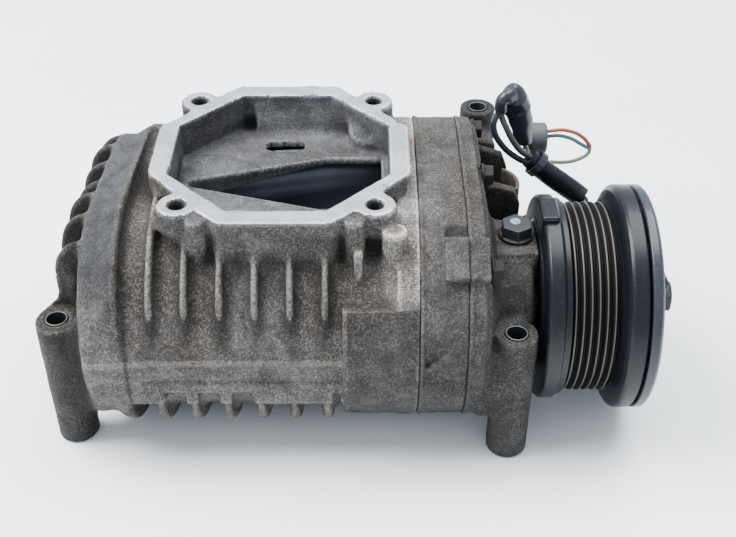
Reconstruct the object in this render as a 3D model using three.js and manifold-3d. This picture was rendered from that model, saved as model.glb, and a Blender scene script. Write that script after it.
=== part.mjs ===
// Roots-type supercharger: two three-lobe helical rotors in a finned aluminium housing, timed by a pair
// of gears and driven through a snout by a six-rib pulley with an electromagnetic clutch.
// Millimetres. X runs along the rotors towards the pulley, Y away from the front, Z up.
// The parts are drawn about the middle of the outlet flange, standing on their feet at Z = 0.

import * as THREE from 'three';
import { mergeVertices } from 'three/addons/utils/BufferGeometryUtils.js';
import Module from 'manifold-3d';

// ---- driving dimensions -------------------------------------------------------------------------

const GAP = 0.3;                      // running and assembly clearance between neighbouring pieces

// rotors and their axes
const CENTRE_DISTANCE = 59;           // between the two rotor axes
const PITCH_R = CENTRE_DISTANCE / 2;
const AXIS_Z = 58.5;
const DRIVE_Y = -PITCH_R;
const DRIVEN_Y = PITCH_R;
const LOBES = 3;
const ROTOR_TIP_R = 43;
const ROTOR_TWIST = Math.PI / 3;      // over the rotor's whole length
const ROTOR_CLEARANCE = 0.4;          // taken off each lobe and each hollow
const BORE_R = ROTOR_TIP_R + 0.35;
const SHAFT_R = 8.6;
const SHAFT_FIT_R = SHAFT_R + GAP;    // bores of everything that sits on a rotor shaft

// stations along X
const FIN_TIP_X = -101.5;
const REAR_X = -95;                   // rear face of the bearing bosses
const COLLAR_X = -88;                 // rear edge of the smooth band round the rear end
const REAR_WALL_X = -84;              // inner face of the rear wall
const HOUSING_X = 63.2;               // joint face between the housing and the gear case
const CASE_X0 = HOUSING_X + GAP;
const CASE_X1 = 84.6;
const COVER_X0 = CASE_X1 + GAP;
const COVER_X1 = 95;
const NOSE_X = 116;
const NOSE_TUBE_X = 158;
const COIL_X0 = 120.2;
const COIL_X1 = 131.2;
const PULLEY_X0 = 131.9;
const PULLEY_X1 = 164.2;
const PLATE_X0 = 165.2;
const PLATE_X1 = 170.6;
const BOLT_TIP_X = 186.2;

// casting outline radii about the drive rotor's axis, and the smaller ones about the driven rotor's
const BODY_R = 51;
const BODY_BACK_R = 46.8;
const FIN_R = 58.4;
const FIN_BACK_R = 52;
const COLLAR_R = 53;
const COLLAR_BACK_R = 47.4;
const RIM_R = 56;                     // the same about both axes at the joint faces
const SEAM_PROUD = 0.8;
const SIDE_Y = PITCH_R + BODY_R;      // flat side of the rotor housing
const BODY_ARC = 10;                  // flats to each rounded end of the castings
const FIN_FLOOR_Z = 3;                // the lower fins are cut off level, clear of the ground

// outlet flange and chamber
const FLANGE_Z = 123.35;
const FLANGE_THICK = 7.5;
const CHAMBER_FLOOR_Z = 105;
const EAR_X = 43.5;
const EAR_Y = 45.9;
const EAR_R = 8.2;
const TAPPED_R = 3.9;

// mounting tubes
const TUBE_R = 9.9;
const SLEEVE_R = 5.2;
const SLEEVE_BORE_R = 4.4;
const FRONT_TUBE_Z = 71;
const BACK_TUBE_Z = 86.6;
const TUBES = {
  front_left: [-101.3, -61.05, FRONT_TUBE_Z],
  front_right: [106.9, -71.7, FRONT_TUBE_Z],
  back_right: [102.1, 104.1, BACK_TUBE_Z],
};

// cooling ribs round the housing
const RIB_THICK = 3.4;
const RIB_PITCH = 15.4;
const RIB_FIRST_X = -70.9;
const RIB_COUNT = 7;
const END_FIN_PITCH = 17;
const END_FIN_FIRST_Y = -50.5;
const END_FIN_COUNT = 7;

// bearings, seals and gears
const FRONT_BEARING_R = 20;
const REAR_BEARING_R = 13;
const SEAL_R = 12;
const GEAR_TEETH = 20;
const GEAR_X0 = 77.4;
const GEAR_X1 = 89.2;
const COUPLER_R = 19;
const INPUT_R = 7.6;
const SNOUT_BORE_R = 15.4;
const NOSE_R = 34.5;
const NOSE_TUBE_R = 19.6;

// pulley and clutch
const RIBBED_R = 45.3;
const GROOVE_R = 42.4;
const BELT_PITCH = 3.56;
const BELT_RIBS = 6;
const FIRST_RIDGE_X = 132.98;
const DRUM_R = 53.6;
const PULLEY_BEARING_R = 31;
const COIL_R = 48.9;
const COIL_INNER_R = 21;

// cover bolts and dowels
const BOLT_CIRCLE_R = 50;
const BOLT_R = 2.9;
const BOLT_HEAD_R = 5.6;

// ---- solids -------------------------------------------------------------------------------------

const wasm = await Module();
wasm.setup();

// drawing planes: a shape drawn in (Y, Z), (X, Z) or (X, Y) and pushed along the third axis
const ALONG_X = new THREE.Matrix4().set(0, 0, 1, 0, 1, 0, 0, 0, 0, 1, 0, 0, 0, 0, 0, 1);
const ALONG_Y = new THREE.Matrix4().set(1, 0, 0, 0, 0, 0, -1, 0, 0, 1, 0, 0, 0, 0, 0, 1);
// a turned profile of (radius, station) points, its station running along X
const TURN_X = new THREE.Matrix4().set(0, 1, 0, 0, 0, 0, 1, 0, 1, 0, 0, 0, 0, 0, 0, 1);
const TURN_Z = new THREE.Matrix4().set(1, 0, 0, 0, 0, 0, -1, 0, 0, 1, 0, 0, 0, 0, 0, 1);

function signedVolume(positions, index) {
  let six = 0;
  const [a, b, c] = [new THREE.Vector3(), new THREE.Vector3(), new THREE.Vector3()];
  for (let i = 0; i < index.length; i += 3) {
    a.fromArray(positions, index[i] * 3);
    b.fromArray(positions, index[i + 1] * 3);
    c.fromArray(positions, index[i + 2] * 3);
    six += a.dot(b.cross(c));
  }
  return six / 6;
}

// a closed geometry as a solid with its faces pointing out
function solidOf(geometry) {
  const bare = geometry.clone();
  bare.deleteAttribute('normal');
  bare.deleteAttribute('uv');
  const merged = mergeVertices(bare, 1e-4);
  const positions = Float32Array.from(merged.attributes.position.array);
  const index = Uint32Array.from(merged.index.array);
  const kept = [];
  for (let i = 0; i < index.length; i += 3) {
    const [p, q, r] = [index[i], index[i + 1], index[i + 2]];
    if (p !== q && q !== r && r !== p) {
      kept.push(p, q, r);
    }
  }
  if (signedVolume(positions, kept) < 0) {
    kept.reverse();
  }
  const mesh = new wasm.Mesh({ numProp: 3, vertProperties: positions, triVerts: Uint32Array.from(kept) });
  return new wasm.Manifold(mesh);
}

function join(...solids) {
  return solids.reduce((whole, next) => whole.add(next));
}

function cut(body, ...tools) {
  return tools.reduce((left, tool) => left.subtract(tool), body);
}

function push(shape, depth, matrix, offset, arcSteps = 24, extra = {}) {
  const options = { depth, bevelEnabled: false, curveSegments: arcSteps, ...extra };
  const geometry = new THREE.ExtrudeGeometry(shape, options);
  geometry.applyMatrix4(matrix);
  geometry.translate(...offset);
  return solidOf(geometry);
}

function prismX(shape, x0, x1, arcSteps) {
  return push(shape, x1 - x0, ALONG_X, [x0, 0, 0], arcSteps);
}

function prismY(shape, y0, y1, arcSteps) {
  return push(shape, y1 - y0, ALONG_Y, [0, y1, 0], arcSteps);
}

function prismZ(shape, z0, z1, arcSteps) {
  return push(shape, z1 - z0, new THREE.Matrix4(), [0, 0, z0], arcSteps);
}

function block(x0, x1, y0, y1, z0, z1) {
  const geometry = new THREE.BoxGeometry(x1 - x0, y1 - y0, z1 - z0);
  geometry.translate((x0 + x1) / 2, (y0 + y1) / 2, (z0 + z1) / 2);
  return solidOf(geometry);
}

// a solid of revolution: points are [radius, station]
function turned(points, matrix, offset, sides = 32) {
  const profile = points.map(([r, s]) => new THREE.Vector2(r, s));
  const geometry = new THREE.LatheGeometry(profile, sides);
  geometry.applyMatrix4(matrix);
  geometry.translate(...offset);
  return solidOf(geometry);
}

function turnedX(points, y, z, sides) {
  return turned(points, TURN_X, [0, y, z], sides);
}

function turnedZ(points, x, y, sides) {
  return turned(points, TURN_Z, [x, y, 0], sides);
}

function rod(r, s0, s1) {
  return [[0, s0], [r, s0], [r, s1], [0, s1]];
}

function ring(rIn, rOut, s0, s1) {
  return [[rIn, s0], [rOut, s0], [rOut, s1], [rIn, s1], [rIn, s0]];
}

function rodX(y, z, r, x0, x1, sides = 24) {
  return turnedX(rod(r, x0, x1), y, z, sides);
}

function rodZ(x, y, r, z0, z1, sides = 24) {
  return turnedZ(rod(r, z0, z1), x, y, sides);
}

function rodY(x, z, r, y0, y1, sides = 16) {
  const geometry = new THREE.CylinderGeometry(r, r, y1 - y0, sides);
  geometry.translate(x, (y0 + y1) / 2, z);
  return solidOf(geometry);
}

function outline(points) {
  const shape = new THREE.Shape();
  shape.moveTo(...points[0]);
  points.slice(1).forEach((p) => shape.lineTo(...p));
  shape.closePath();
  return shape;
}

// two half circles about the rotor axes, joined by straight lines, drawn in (Y, Z); front and back are
// their radii about the drive and the driven axis, and the outline is cut off flat beyond side
function stadium(front, back = front, side = Infinity) {
  const shape = new THREE.Shape();
  const cutAngle = (r) => Math.acos(Math.min(1, (side - PITCH_R) / r));
  const [a, b] = [cutAngle(front), cutAngle(back)];
  shape.absarc(DRIVEN_Y, AXIS_Z, back, -Math.PI / 2, -b, false);
  shape.absarc(DRIVEN_Y, AXIS_Z, back, b, Math.PI / 2, false);
  shape.absarc(DRIVE_Y, AXIS_Z, front, Math.PI / 2, Math.PI - a, false);
  shape.absarc(DRIVE_Y, AXIS_Z, front, Math.PI + a, Math.PI * 1.5, false);
  shape.closePath();
  return shape;
}

function octagon(halfX, halfY, cornerX, cornerY) {
  return outline([
    [halfX, -cornerY], [halfX, cornerY], [cornerX, halfY], [-cornerX, halfY],
    [-halfX, cornerY], [-halfX, -cornerY], [-cornerX, -halfY], [cornerX, -halfY],
  ]);
}

function hexagon(acrossFlats) {
  const corners = [];
  for (let i = 0; i < 6; i += 1) {
    const a = (i + 0.5) * (Math.PI / 3);
    corners.push([(acrossFlats / Math.sqrt(3)) * Math.cos(a), (acrossFlats / Math.sqrt(3)) * Math.sin(a)]);
  }
  return corners;
}

// ---- materials ----------------------------------------------------------------------------------

function paint(color, roughness, metalness) {
  return () => new THREE.MeshStandardMaterial({ color, roughness, metalness });
}

const CAST = paint(0x76716a, 0.75, 0.35);
const STEEL = paint(0xb9bcc2, 0.3, 0.9);
const DARK_STEEL = paint(0x3a3c40, 0.45, 0.8);
const ROTOR = paint(0x5d636b, 0.5, 0.5);
const SHAFT = paint(0x9a9da3, 0.3, 0.9);
const BEARING = paint(0xa9adb5, 0.25, 0.9);
const SEAL = paint(0x2a201c, 0.8, 0);
const BLACK = paint(0x14161b, 0.28, 0.5);
const PLATED = paint(0x8a8c8e, 0.4, 0.85);
const RUBBER = paint(0x141517, 0.5, 0);
const CONNECTOR = paint(0x5a5d63, 0.55, 0);
const PLUG = paint(0x23252a, 0.45, 0.6);
const RED = paint(0x8c3a2c, 0.5, 0);
const TEAL = paint(0x4f7377, 0.5, 0);
const GREEN = paint(0x6f7a5c, 0.5, 0);

const supercharger = new THREE.Group();

function add(name, solid, material) {
  const { numProp, vertProperties, triVerts } = solid.getMesh();
  const positions = new Float32Array((vertProperties.length / numProp) * 3);
  for (let i = 0; i < positions.length / 3; i += 1) {
    positions.set(vertProperties.subarray(i * numProp, i * numProp + 3), i * 3);
  }
  const geometry = new THREE.BufferGeometry();
  geometry.setAttribute('position', new THREE.BufferAttribute(positions, 3));
  geometry.setIndex(new THREE.BufferAttribute(Uint32Array.from(triVerts), 1));
  geometry.computeVertexNormals();
  const mesh = new THREE.Mesh(geometry, material());
  mesh.name = name;
  supercharger.add(mesh);
}

// ---- bolt places shared by the three castings ---------------------------------------------------

// [y, z] round the joint faces: two on each rounded end, and two on each long side
const BOLT_ANGLES = [52, -52];
const BOLT_PLACES = [];
for (const side of [-1, 1]) {
  for (const degrees of BOLT_ANGLES) {
    const a = THREE.MathUtils.degToRad(degrees);
    BOLT_PLACES.push([side * (PITCH_R + BOLT_CIRCLE_R * Math.cos(a)), AXIS_Z + BOLT_CIRCLE_R * Math.sin(a)]);
  }
}
BOLT_PLACES.push([0, AXIS_Z + BOLT_CIRCLE_R], [0, AXIS_Z - BOLT_CIRCLE_R]);
const DOWEL_PLACES = [[-PITCH_R - BOLT_CIRCLE_R, AXIS_Z], [PITCH_R + BOLT_CIRCLE_R, AXIS_Z]];
const BOLT_ENTRY = 9;                // how far a cover bolt screws into the housing
const DOWEL_R = 2.5;
const DOWEL_X0 = 55;
const DOWEL_X1 = 72;
const BOLT_SEAT_X = 94.2;             // floor of the spot faces under the cover bolts

function fastenerHoles(x0, x1) {
  const bolts = BOLT_PLACES.map(([y, z]) => rodX(y, z, BOLT_R + GAP, x0, x1, 8));
  const dowels = DOWEL_PLACES.map(([y, z]) => rodX(y, z, DOWEL_R + GAP, DOWEL_X0 - GAP, DOWEL_X1 + GAP, 8));
  return [...bolts, ...dowels];
}

// ---- rotor housing ------------------------------------------------------------------------------

const RAIL_PROUD = 1.2;
const RAIL_X0 = -84;
const RAIL_Z0 = 59.5;
const RAIL_Z1 = 63;
const BAND_PROUD = 0.8;
const BAND_Z0 = 36;
const BAND_NOTCH_Z = 43;
const BAND_Z1 = 49;
const RAISED_BLOCK_X = 29;
const RAISED_BLOCK_Z = 88;
const RIM_X = 53;

function ribs() {
  const plate = stadium(FIN_R, FIN_BACK_R, SIDE_Y - 2);
  const all = [];
  for (let i = 0; i < RIB_COUNT; i += 1) {
    const x = RIB_FIRST_X + i * RIB_PITCH;
    all.push(prismX(plate, x - RIB_THICK / 2, x + RIB_THICK / 2, 5));
  }
  const floor = block(-200, 200, -200, 200, -10, FIN_FLOOR_Z);
  return cut(join(...all), floor);
}

// half the height of the collar's outline beside a rotor axis or between the two
function collarHalfHeight(y) {
  const r = y < 0 ? COLLAR_R : COLLAR_BACK_R;
  const beyond = Math.max(0, Math.abs(y) - PITCH_R);
  return Math.sqrt(r ** 2 - beyond ** 2);
}

// upright plates behind the rear wall, rounded at their top and bottom corners
const END_FIN_ROOT_X = -84;
const END_FIN_TOP_Z = 109.5;
const END_FIN_SHOULDER_DROP = 21;     // from a plate's top down to where its rear edge is upright
const END_FIN_WAIST_Z = 46;
const END_FIN_FOOT_Z = 14;
const END_FIN_THICK = 4.6;
const END_FIN_TOP_X = -88;            // where the outline leaves its level top
const END_FIN_INSET = 1;              // how far the plates stay inside the collar's outline

function endFin(y) {
  const half = collarHalfHeight(y) - END_FIN_INSET;
  const topZ = Math.min(END_FIN_TOP_Z, AXIS_Z + half);
  const footZ = Math.max(END_FIN_FOOT_Z, AXIS_Z - half);
  const reach = END_FIN_TOP_X - FIN_TIP_X;
  const profile = new THREE.Shape();
  profile.moveTo(END_FIN_ROOT_X, topZ);
  profile.lineTo(END_FIN_TOP_X, topZ);
  profile.absellipse(
    END_FIN_TOP_X, topZ - END_FIN_SHOULDER_DROP, reach, END_FIN_SHOULDER_DROP, Math.PI / 2, Math.PI, false,
  );
  profile.lineTo(FIN_TIP_X, END_FIN_WAIST_Z);
  profile.absellipse(
    END_FIN_TOP_X, END_FIN_WAIST_Z, reach, END_FIN_WAIST_Z - footZ, Math.PI, Math.PI * 1.5, false,
  );
  profile.lineTo(END_FIN_ROOT_X, footZ);
  profile.closePath();
  return prismY(profile, y - END_FIN_THICK / 2, y + END_FIN_THICK / 2, 3);
}

function endFins() {
  const places = Array.from({ length: END_FIN_COUNT }, (_, i) => END_FIN_FIRST_Y + i * END_FIN_PITCH);
  return join(...places.map(endFin));
}

// the smooth band round the rear end, its rear edge rounded over
const COLLAR_EDGE_R = 5;

function collar() {
  const round = {
    bevelEnabled: true, bevelThickness: COLLAR_EDGE_R, bevelSize: COLLAR_EDGE_R,
    bevelSegments: 2, bevelOffset: 0,
  };
  const shape = stadium(COLLAR_R - COLLAR_EDGE_R, COLLAR_BACK_R - COLLAR_EDGE_R);
  const depth = RIB_FIRST_X - COLLAR_X - 2 * COLLAR_EDGE_R + 2;
  return push(shape, depth, ALONG_X, [COLLAR_X + COLLAR_EDGE_R, 0, 0], 8, round);
}

// round bosses on the rear wall, over the rear bearings
const REAR_BOSS_R = 18;

function rearBosses() {
  return join(...[DRIVE_Y, DRIVEN_Y].map((y) => rodX(y, AXIS_Z, REAR_BOSS_R, REAR_X, REAR_WALL_X, 12)));
}

function mountTube([x, y, top]) {
  return rodZ(x, y, TUBE_R, 0, top, 20);
}

function tubeBore([x, y, top]) {
  return rodZ(x, y, SLEEVE_R + GAP, -1, top + 1, 16);
}

// the outlet neck: [half length, half width, corner x, corner y] of its eight-sided wall and flange
const NECK = [59, 60, 24.1, 20.8];
const FLANGE = [60, 61, 24.5, 21];
const NECK_FOOT_Z = 96;               // below this the neck's wall is inside the body
const EAR_FOOT_Z = 92;
const EAR_WAIST_Z = 104;              // above this an ear has its full radius
const EAR_TAPER = 3;

function outletNeck() {
  const wall = prismZ(octagon(...NECK), NECK_FOOT_Z, FLANGE_Z - FLANGE_THICK + 0.5);
  const flange = prismZ(octagon(...FLANGE), FLANGE_Z - FLANGE_THICK, FLANGE_Z);
  const boss = [
    [0, EAR_FOOT_Z], [EAR_R - EAR_TAPER, EAR_FOOT_Z], [EAR_R, EAR_WAIST_Z], [EAR_R, FLANGE_Z], [0, FLANGE_Z],
  ];
  const ears = [-EAR_X, EAR_X].flatMap((x) => [-EAR_Y, EAR_Y].map((y) => turnedZ(boss, x, y, 16)));
  return join(wall, flange, ...ears);
}

// half-round columns under the front of the flange: [x, y, radius, foot, depth of the top below the face]
const COLUMNS = [[-34.5, -55.5, 4.6, 88, 3], [34.5, -55.5, 4.6, 88, 3], [52, -57, 5.5, 84, 6]];

function columns() {
  return join(...COLUMNS.map(([x, y, r, z0, drop]) => rodZ(x, y, r, z0, FLANGE_Z - drop, 10)));
}

const INLET_FACE = { x0: -78, x1: -22, z0: 30, z1: 87 };
const INLET_FACE_Y = SIDE_Y + 5.5;
const INLET_ROOT_Y = 60;
const INLET = { x0: -69, x1: -31, z0: 39, z1: 78 };
const INLET_HOLES = [[-73.4, 34.6], [-26.6, 34.6], [-73.4, 82.4], [-26.6, 82.4]];
const INLET_TAP_R = 2.6;
const INLET_TAP_DEPTH = 13.5;

function inletFlange() {
  const { x0, x1, z0, z1 } = INLET_FACE;
  return block(x0, x1, INLET_ROOT_Y, INLET_FACE_Y, z0, z1);
}

// shallow pockets low in the front of the raised block: [x0, x1, floor y, z0, z1]
const POCKETS = [[33, 41.5, -82.5, 26, 35], [44, 52, -81.5, 24, 34]];
// a short upright stiffener beside the right-hand column
const STIFFENER = [34.1, 38.1, -66, -56, 84, 110];
const TUBE_WEB_Z0 = 24;
const TUBE_WEB_Z1 = 66;
const TUBE_WEB_HALF = 7.5;

function housingBody() {
  const body = prismX(stadium(BODY_R, BODY_BACK_R), COLLAR_X + 2, HOUSING_X, BODY_ARC);
  const rim = prismX(stadium(RIM_R), RIM_X, HOUSING_X, BODY_ARC);
  const low = block(0, 100, -200, 200, 0, RAISED_BLOCK_Z);
  const raised = prismX(stadium(RIM_R), RAISED_BLOCK_X, HOUSING_X - 2, BODY_ARC).intersect(low);
  const rail = block(RAIL_X0, RAISED_BLOCK_X + 1, -SIDE_Y - RAIL_PROUD, -SIDE_Y + 4, RAIL_Z0, RAIL_Z1);
  const band = block(RAIL_X0, RAISED_BLOCK_X + 1, -SIDE_Y - BAND_PROUD, -SIDE_Y + 5, BAND_Z0, BAND_Z1);
  const notches = [1, 2, 3, 6].map((bay) => {
    const left = RIB_FIRST_X + bay * RIB_PITCH + RIB_THICK / 2;
    const right = Math.min(left + RIB_PITCH - RIB_THICK, RAISED_BLOCK_X);
    return block(left, right, -SIDE_Y - 5, -SIDE_Y + 6, BAND_Z0 - 1, BAND_NOTCH_Z);
  });
  const bandCut = cut(band, ...notches);
  const [tubeX, tubeY] = TUBES.front_left;
  const [webY0, webY1] = [tubeY - TUBE_WEB_HALF, tubeY + TUBE_WEB_HALF];
  const web = block(tubeX, COLLAR_X + 5, webY0, webY1, TUBE_WEB_Z0, TUBE_WEB_Z1);
  return join(
    body, rim, raised, rail, bandCut, collar(), rearBosses(), ribs(), endFins(), outletNeck(), columns(),
    inletFlange(), mountTube(TUBES.front_left), web, block(...STIFFENER),
  );
}

// the V-shaped discharge port, its apex towards the rear, cut through the chamber floor
const PORT = [[-46, -0.8], [-44, 1.5], [20, 20.5], [47, 20.5], [47, -27], [32, -27], [-44, -3.8]];
const PORT_FOOT_Z = 70;               // inside the rotor bores

function dischargePort() {
  return prismZ(outline(PORT), PORT_FOOT_Z, CHAMBER_FLOOR_Z + 1);
}

// the round-ended slot in the chamber floor: [x, y, half length, end radius]
const SLOT = [-0.7, 32.6, 5.8, 4.2];

function slot(x, y, half, r, z0, z1) {
  const shape = new THREE.Shape();
  shape.absarc(x + half, y, r, -Math.PI / 2, Math.PI / 2, false);
  shape.absarc(x - half, y, r, Math.PI / 2, Math.PI * 1.5, false);
  shape.closePath();
  return prismZ(shape, z0, z1, 6);
}

const ROOM = [50.4, 50.5, 21.8, 21.3]; // the chamber's eight-sided outline, given as the neck's is
const BOSS_X = 40.5;
const BOSS_Y = 36.5;
const BOSS_R = 9.5;
const BOSS_TOP_Z = 120;
const BELOW_FLOOR_Z = 100;
const BOSS_SLANT = [[20, BELOW_FLOOR_Z], [20, 106.5], [52, 121], [52, BELOW_FLOOR_Z]];
const WALL_FOOT = [[51.5, BELOW_FLOOR_Z], [51.5, 118], [43.5, 105.5], [43.5, BELOW_FLOOR_Z]];
const WALL_FOOT_X0 = -16;
const WALL_FOOT_X1 = 32;

// the room under the flange; left standing in it are a round boss with a slanted top in the back
// right corner, and the sloping foot of the back wall
function chamber() {
  const room = prismZ(octagon(...ROOM), CHAMBER_FLOOR_Z, FLANGE_Z + 1);
  const [x0, x1] = [BOSS_X - BOSS_R, ROOM[0] + 2];
  const round = join(
    rodZ(BOSS_X, BOSS_Y, BOSS_R, BELOW_FLOOR_Z, BOSS_TOP_Z, 12),
    block(x0, x1, BOSS_Y, ROOM[1] + 2, BELOW_FLOOR_Z, BOSS_TOP_Z),
  );
  const slant = prismX(outline(BOSS_SLANT), x0 - 1, x1 + 1);
  const foot = prismX(outline(WALL_FOOT), WALL_FOOT_X0, WALL_FOOT_X1);
  return cut(room, round.intersect(slant), foot);
}

const TAPPED_FOOT_Z = 101;

function tappedHole(x, y) {
  const lip = TAPPED_R + 0.9;
  const top = FLANGE_Z + 0.1;
  const foot = TAPPED_FOOT_Z;
  return turnedZ([[0, foot], [TAPPED_R, foot], [TAPPED_R, FLANGE_Z - 1], [lip, top], [0, top]], x, y, 12);
}

function rotorHousing() {
  const bores = [DRIVE_Y, DRIVEN_Y].map((y) => rodX(y, AXIS_Z, BORE_R, REAR_WALL_X, HOUSING_X + 1, 36));
  const pockets = [DRIVE_Y, DRIVEN_Y].map((y) => (
    rodX(y, AXIS_Z, REAR_BEARING_R + GAP, REAR_WALL_X - 8, REAR_WALL_X + 1, 16)
  ));
  const ears = [-EAR_X, EAR_X].flatMap((x) => [-EAR_Y, EAR_Y].map((y) => tappedHole(x, y)));
  const inlet = block(INLET.x0, INLET.x1, INLET_ROOT_Y - 10, INLET_FACE_Y + 5, INLET.z0, INLET.z1);
  const inletTaps = INLET_HOLES.map(([x, z]) => (
    rodY(x, z, INLET_TAP_R, INLET_FACE_Y - INLET_TAP_DEPTH, INLET_FACE_Y + 5, 12)
  ));
  const relief = POCKETS.map(([x0, x1, floor, z0, z1]) => block(x0, x1, -100, floor, z0, z1));
  return cut(
    housingBody(), ...bores, ...pockets, chamber(), dischargePort(),
    slot(...SLOT, PORT_FOOT_Z + 20, CHAMBER_FLOOR_Z + 7), ...ears, inlet, ...inletTaps, ...relief,
    tubeBore(TUBES.front_left),
    ...fastenerHoles(HOUSING_X - BOLT_ENTRY - 1, HOUSING_X + 1),
  );
}

// ---- gear case: the bearing wall behind the timing gears ----------------------------------------

const CASE_WALL_X = 76.4;
const GEAR_ROOM_R = 38;
const PAD_ANGLE = THREE.MathUtils.degToRad(125);
const CASE_FRONT_Y = -RIM_R - PITCH_R;
const GUSSET = [[65.5, 75], [80.5, 75], [65.5, 61]];
const GUSSET_DEPTH = 2.6;
const WAIST_DEPTH = 0.9;

// a flat pad laid on the rounded shoulder at PAD_ANGLE, and the step cut above it
function shoulderBlock(x0, x1, along0, along1, r0, r1) {
  const out = new THREE.Vector2(Math.cos(PAD_ANGLE), Math.sin(PAD_ANGLE));
  const up = new THREE.Vector2(out.y, -out.x);
  const corner = (r, s) => [DRIVE_Y + out.x * r + up.x * s, AXIS_Z + out.y * r + up.y * s];
  const shape = outline([corner(r0, along0), corner(r1, along0), corner(r1, along1), corner(r0, along1)]);
  return prismX(shape, x0, x1);
}

function gearCase() {
  const body = prismX(stadium(RIM_R), CASE_X0, CASE_X1, BODY_ARC);
  const seam = prismX(stadium(RIM_R + SEAM_PROUD), CASE_X0, CASE_X0 + 1.4, BODY_ARC);
  const pad = shoulderBlock(74, CASE_X1, -10, 10, 50, 58);
  const step = shoulderBlock(75, CASE_X1 + 1, 10, 17, 54.2, 62);
  const rooms = [DRIVE_Y, DRIVEN_Y].map((y) => (
    rodX(y, AXIS_Z, GEAR_ROOM_R, CASE_WALL_X, CASE_X1 + 1, 24)
  ));
  const seats = [DRIVE_Y, DRIVEN_Y].map((y) => (
    rodX(y, AXIS_Z, FRONT_BEARING_R + GAP, CASE_X0 + 3, CASE_WALL_X + 1, 20)
  ));
  const sealSeats = [DRIVE_Y, DRIVEN_Y].map((y) => (
    rodX(y, AXIS_Z, SEAL_R + GAP, CASE_X0 - 1, CASE_X0 + 4, 16)
  ));
  const gusset = prismY(outline(GUSSET), CASE_FRONT_Y - 15, CASE_FRONT_Y + GUSSET_DEPTH);
  const [[waistX], , [, waistZ]] = GUSSET;
  const waist = block(waistX, CASE_X1 + 1, CASE_FRONT_Y - 15, CASE_FRONT_Y + WAIST_DEPTH, 30, waistZ);
  return cut(
    join(body, seam, pad), ...rooms, ...seats, ...sealSeats, step, gusset, waist,
    ...fastenerHoles(CASE_X0 - 1, CASE_X1 + 1),
  );
}

// ---- front cover with the drive snout -----------------------------------------------------------

const GEAR_ROOM_END_X = 90.6;
const COUPLER_ROOM_X = 98.4;
const PLUG_X = 109;
const PLUG_SEAT_Z = 94;
const PLUG_HOLE_R = 5;
const PLUG_SEAT_R = 8.8;
const COVER_STEP_X = 92.4;            // the cover's outline steps in beyond this
// the snout's outline: [radius, x]
const NOSE = [
  [0, 88], [45, 88], [45, 96], [NOSE_R + 3, 99.5], [NOSE_R, 104], [NOSE_R, NOSE_X - 1.5],
  [NOSE_R - 1.5, NOSE_X], [NOSE_TUBE_R, NOSE_X], [NOSE_TUBE_R, NOSE_TUBE_X], [0, NOSE_TUBE_X],
];
// the shallow dome over the driven rotor's gear
const DOME = [[0, 90], [34, 90], [32, 99], [24, 101], [0, 101]];
// upright webs that stiffen the cover behind the snout: [y, reach along x, top]
const COVER_WEBS = [[2, 114.3, 99.5], [37, 111.5, 98], [59, 107.6, 97]];
const COVER_WEB_HALF = 2.5;

function coverWeb([y, x, top]) {
  const profile = outline([[90, 22], [x - 8, 30], [x, 44], [x, top - 8], [x - 3, top], [90, top + 6]]);
  return prismY(profile, y - COVER_WEB_HALF, y + COVER_WEB_HALF);
}

function frontCover() {
  const plate = prismX(stadium(RIM_R), COVER_X0, COVER_STEP_X, BODY_ARC);
  const step = prismX(stadium(RIM_R - 3.5), COVER_STEP_X - 0.4, COVER_X1, BODY_ARC);
  const seam = prismX(stadium(RIM_R + SEAM_PROUD), COVER_X0, COVER_X0 + 1.4, BODY_ARC);
  const pad = shoulderBlock(COVER_X0, COVER_X1 - 1, -10, 10, 50, 57.6);
  const nose = turnedX(NOSE, DRIVE_Y, AXIS_Z, 28);
  const dome = turnedX(DOME, DRIVEN_Y, AXIS_Z, 20);
  const plugBoss = block(99, 118.5, -43, -15.5, 78, PLUG_SEAT_Z);
  const webs = COVER_WEBS.map(coverWeb);
  const shelf = block(93, 107, -4, 60, 72, 77);
  const [frontX, frontY] = TUBES.front_right;
  const [backX, backY] = TUBES.back_right;
  const frontWeb = block(90, frontX, frontY - 8, frontY + 8, 26, 64);
  const frontRib = block(94, frontX - 4, frontY - 4, -48, 30, 60);
  const arm = prismZ(outline([[87, 60], [103, 60], [backX + 8, backY], [backX - 8, backY]]), 44, 78);
  const body = join(
    plate, step, seam, pad, nose, dome, plugBoss, ...webs, shelf,
    mountTube(TUBES.front_right), mountTube(TUBES.back_right), frontWeb, frontRib, arm,
  );
  const gearRooms = [DRIVE_Y, DRIVEN_Y].map((y) => (
    rodX(y, AXIS_Z, GEAR_ROOM_R, COVER_X0 - 1, GEAR_ROOM_END_X, 24)
  ));
  const couplerRoom = rodX(DRIVE_Y, AXIS_Z, COUPLER_R + 2, GEAR_ROOM_END_X - 1, COUPLER_ROOM_X, 20);
  const snoutBore = rodX(DRIVE_Y, AXIS_Z, SNOUT_BORE_R, COUPLER_ROOM_X - 1, NOSE_TUBE_X + 1, 20);
  const fill = rodZ(PLUG_X, DRIVE_Y, PLUG_HOLE_R + GAP, AXIS_Z + 5, PLUG_SEAT_Z + 1, 12);
  const plugSeat = rodZ(PLUG_X, DRIVE_Y, PLUG_SEAT_R, PLUG_SEAT_Z, PLUG_SEAT_Z + 20, 16);
  const spotFaces = BOLT_PLACES.map(([y, z]) => rodX(y, z, BOLT_HEAD_R + 1.2, BOLT_SEAT_X, 130, 12));
  return cut(
    body, ...gearRooms, couplerRoom, snoutBore, fill, plugSeat,
    tubeBore(TUBES.front_right), tubeBore(TUBES.back_right), ...spotFaces,
    ...fastenerHoles(COVER_X0 - 1, COVER_X1 + 20),
  );
}

// ---- rotors -------------------------------------------------------------------------------------

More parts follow.
